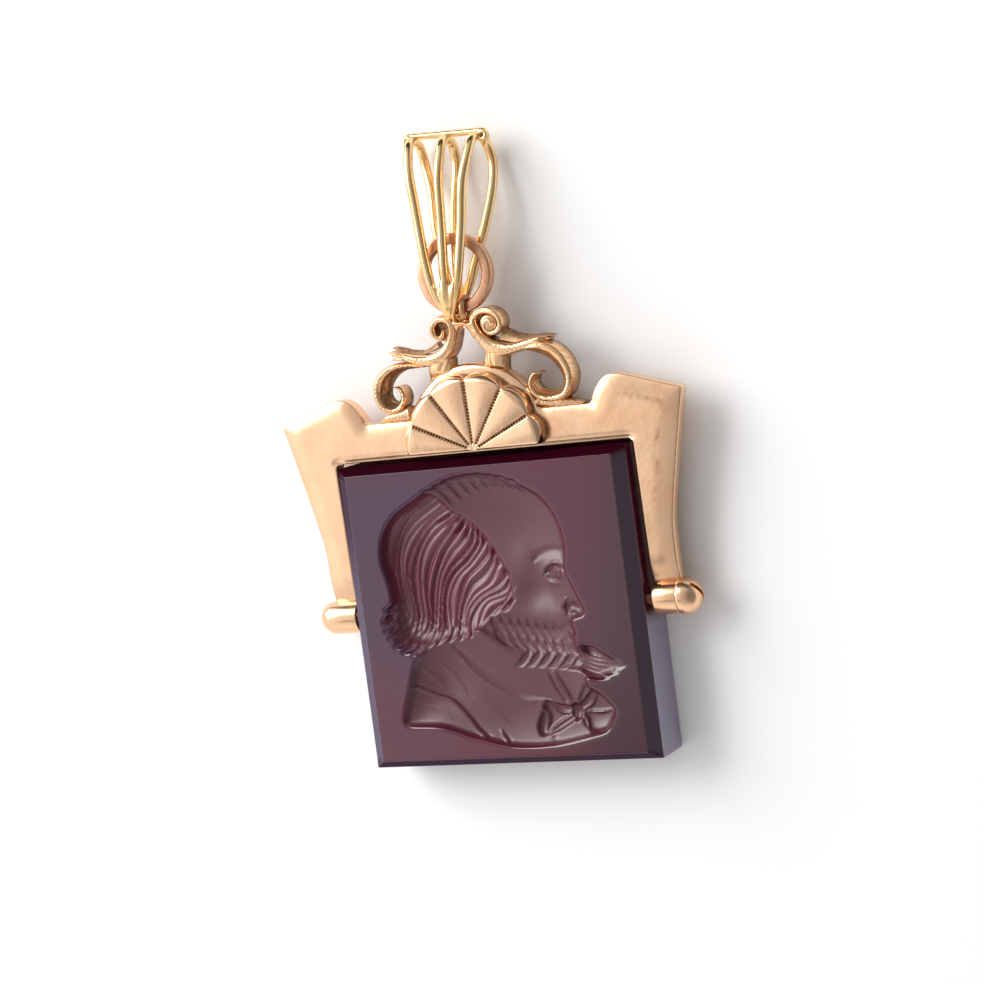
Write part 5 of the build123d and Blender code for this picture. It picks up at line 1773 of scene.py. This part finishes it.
def both(a_, b_):
    mul = node(wn, "ShaderNodeMath", operation="MULTIPLY")
    WL(a_, mul.inputs[0])
    WL(b_, mul.inputs[1])
    return mul.outputs[0]


col = blend_to((1.10, 1.10, 1.10), lobe((0.0, 0.0, 1.0), 20, 60), 0.80, (0.86, 0.85, 0.85))
col = blend_to(col, slab(-0.3, 0.04, 0.12), 0.30, (0.30, 0.295, 0.29))
col = blend_to(col, both(lobe((-0.25, 1.0, 0.0), 42, 85), slab(-0.2, 0.34, 0.30)), 0.97, (0.02, 0.018, 0.02))
col = blend_to(col, lobe((0.66, 0.0, 0.75), 28, 84), 0.48, (0.14, 0.135, 0.14))
col = blend_to(col, lobe((0.90, 0.0, 0.43), 20, 54), 0.80, (0.14, 0.135, 0.14))
col = blend_to(col, lobe((-0.66, -0.16, 0.74), 10, 24), 1.0, (1.24, 1.22, 1.22))
col = blend_to(col, lobe((-0.33, -0.33, 0.885), 3, 11), 0.75, (0.14, 0.135, 0.14))
bg = node(wn, "ShaderNodeBackground")
WL(col, bg.inputs["Color"])
bg.inputs["Strength"].default_value = 1.0
plain = node(wn, "ShaderNodeBackground")
plain.inputs["Color"].default_value = (0.90, 0.90, 0.895, 1)
lp = node(wn, "ShaderNodeLightPath")
msh = node(wn, "ShaderNodeMixShader")
WL(lp.outputs["Is Camera Ray"], msh.inputs[0])
WL(bg.outputs[0], msh.inputs[1])
WL(plain.outputs[0], msh.inputs[2])
WL(msh.outputs[0], w_out.inputs["Surface"])


def area(name, loc_mm, size_mm, power, color=(1, 1, 1), at=(0, 8, 2)):
    ld = bpy.data.lights.new(name, "AREA")
    ld.shape = "SQUARE"
    ld.size = size_mm * 0.001
    ld.energy = power
    ld.color = color
    lo_ = bpy.data.objects.new(name, ld)
    loc = Vector(world(np.array([loc_mm]))[0])
    tgt = Vector(world(np.array([at]))[0])
    lo_.location = loc
    lo_.rotation_mode = "QUATERNION"
    lo_.rotation_quaternion = (tgt - loc).to_track_quat("-Z", "Y")
    bpy.context.scene.collection.objects.link(lo_)
    return lo_


area("key", (-420, 300, 330), 460, 3.9, (1.0, 0.99, 0.975))

# ------------------------------------------------------------------ camera
AZ, EL, ROLL, DIST, FPX = 25.56, 5.53, -7.46, 187.0, 13.94 * 187.0
TARGET = np.array([0.039, 8.373, 2.25])
az, el, roll = map(math.radians, (AZ, EL, ROLL))
d = np.array([math.sin(az) * math.cos(el), math.sin(el), math.cos(az) * math.cos(el)])
right = np.array([math.cos(az), 0, -math.sin(az)])
up = np.cross(d, right)
r_ = math.cos(roll) * right + math.sin(roll) * up
u_ = -math.sin(roll) * right + math.cos(roll) * up
pos = world(np.array([TARGET + d * DIST]))[0]
cam = bpy.data.cameras.new("camera")
cam.sensor_width = 36.0
cam.lens = FPX / 984.0 * 36.0
cam.clip_start, cam.clip_end = 0.01, 10
cam_ob = bpy.data.objects.new("camera", cam)
cam_ob.matrix_world = Matrix(((r_[0], u_[0], d[0], pos[0]), (r_[1], u_[1], d[1], pos[1]),
                              (r_[2], u_[2], d[2], pos[2]), (0, 0, 0, 1)))
scene.collection.objects.link(cam_ob)
scene.camera = cam_ob
scene.view_settings.view_transform = "Standard"
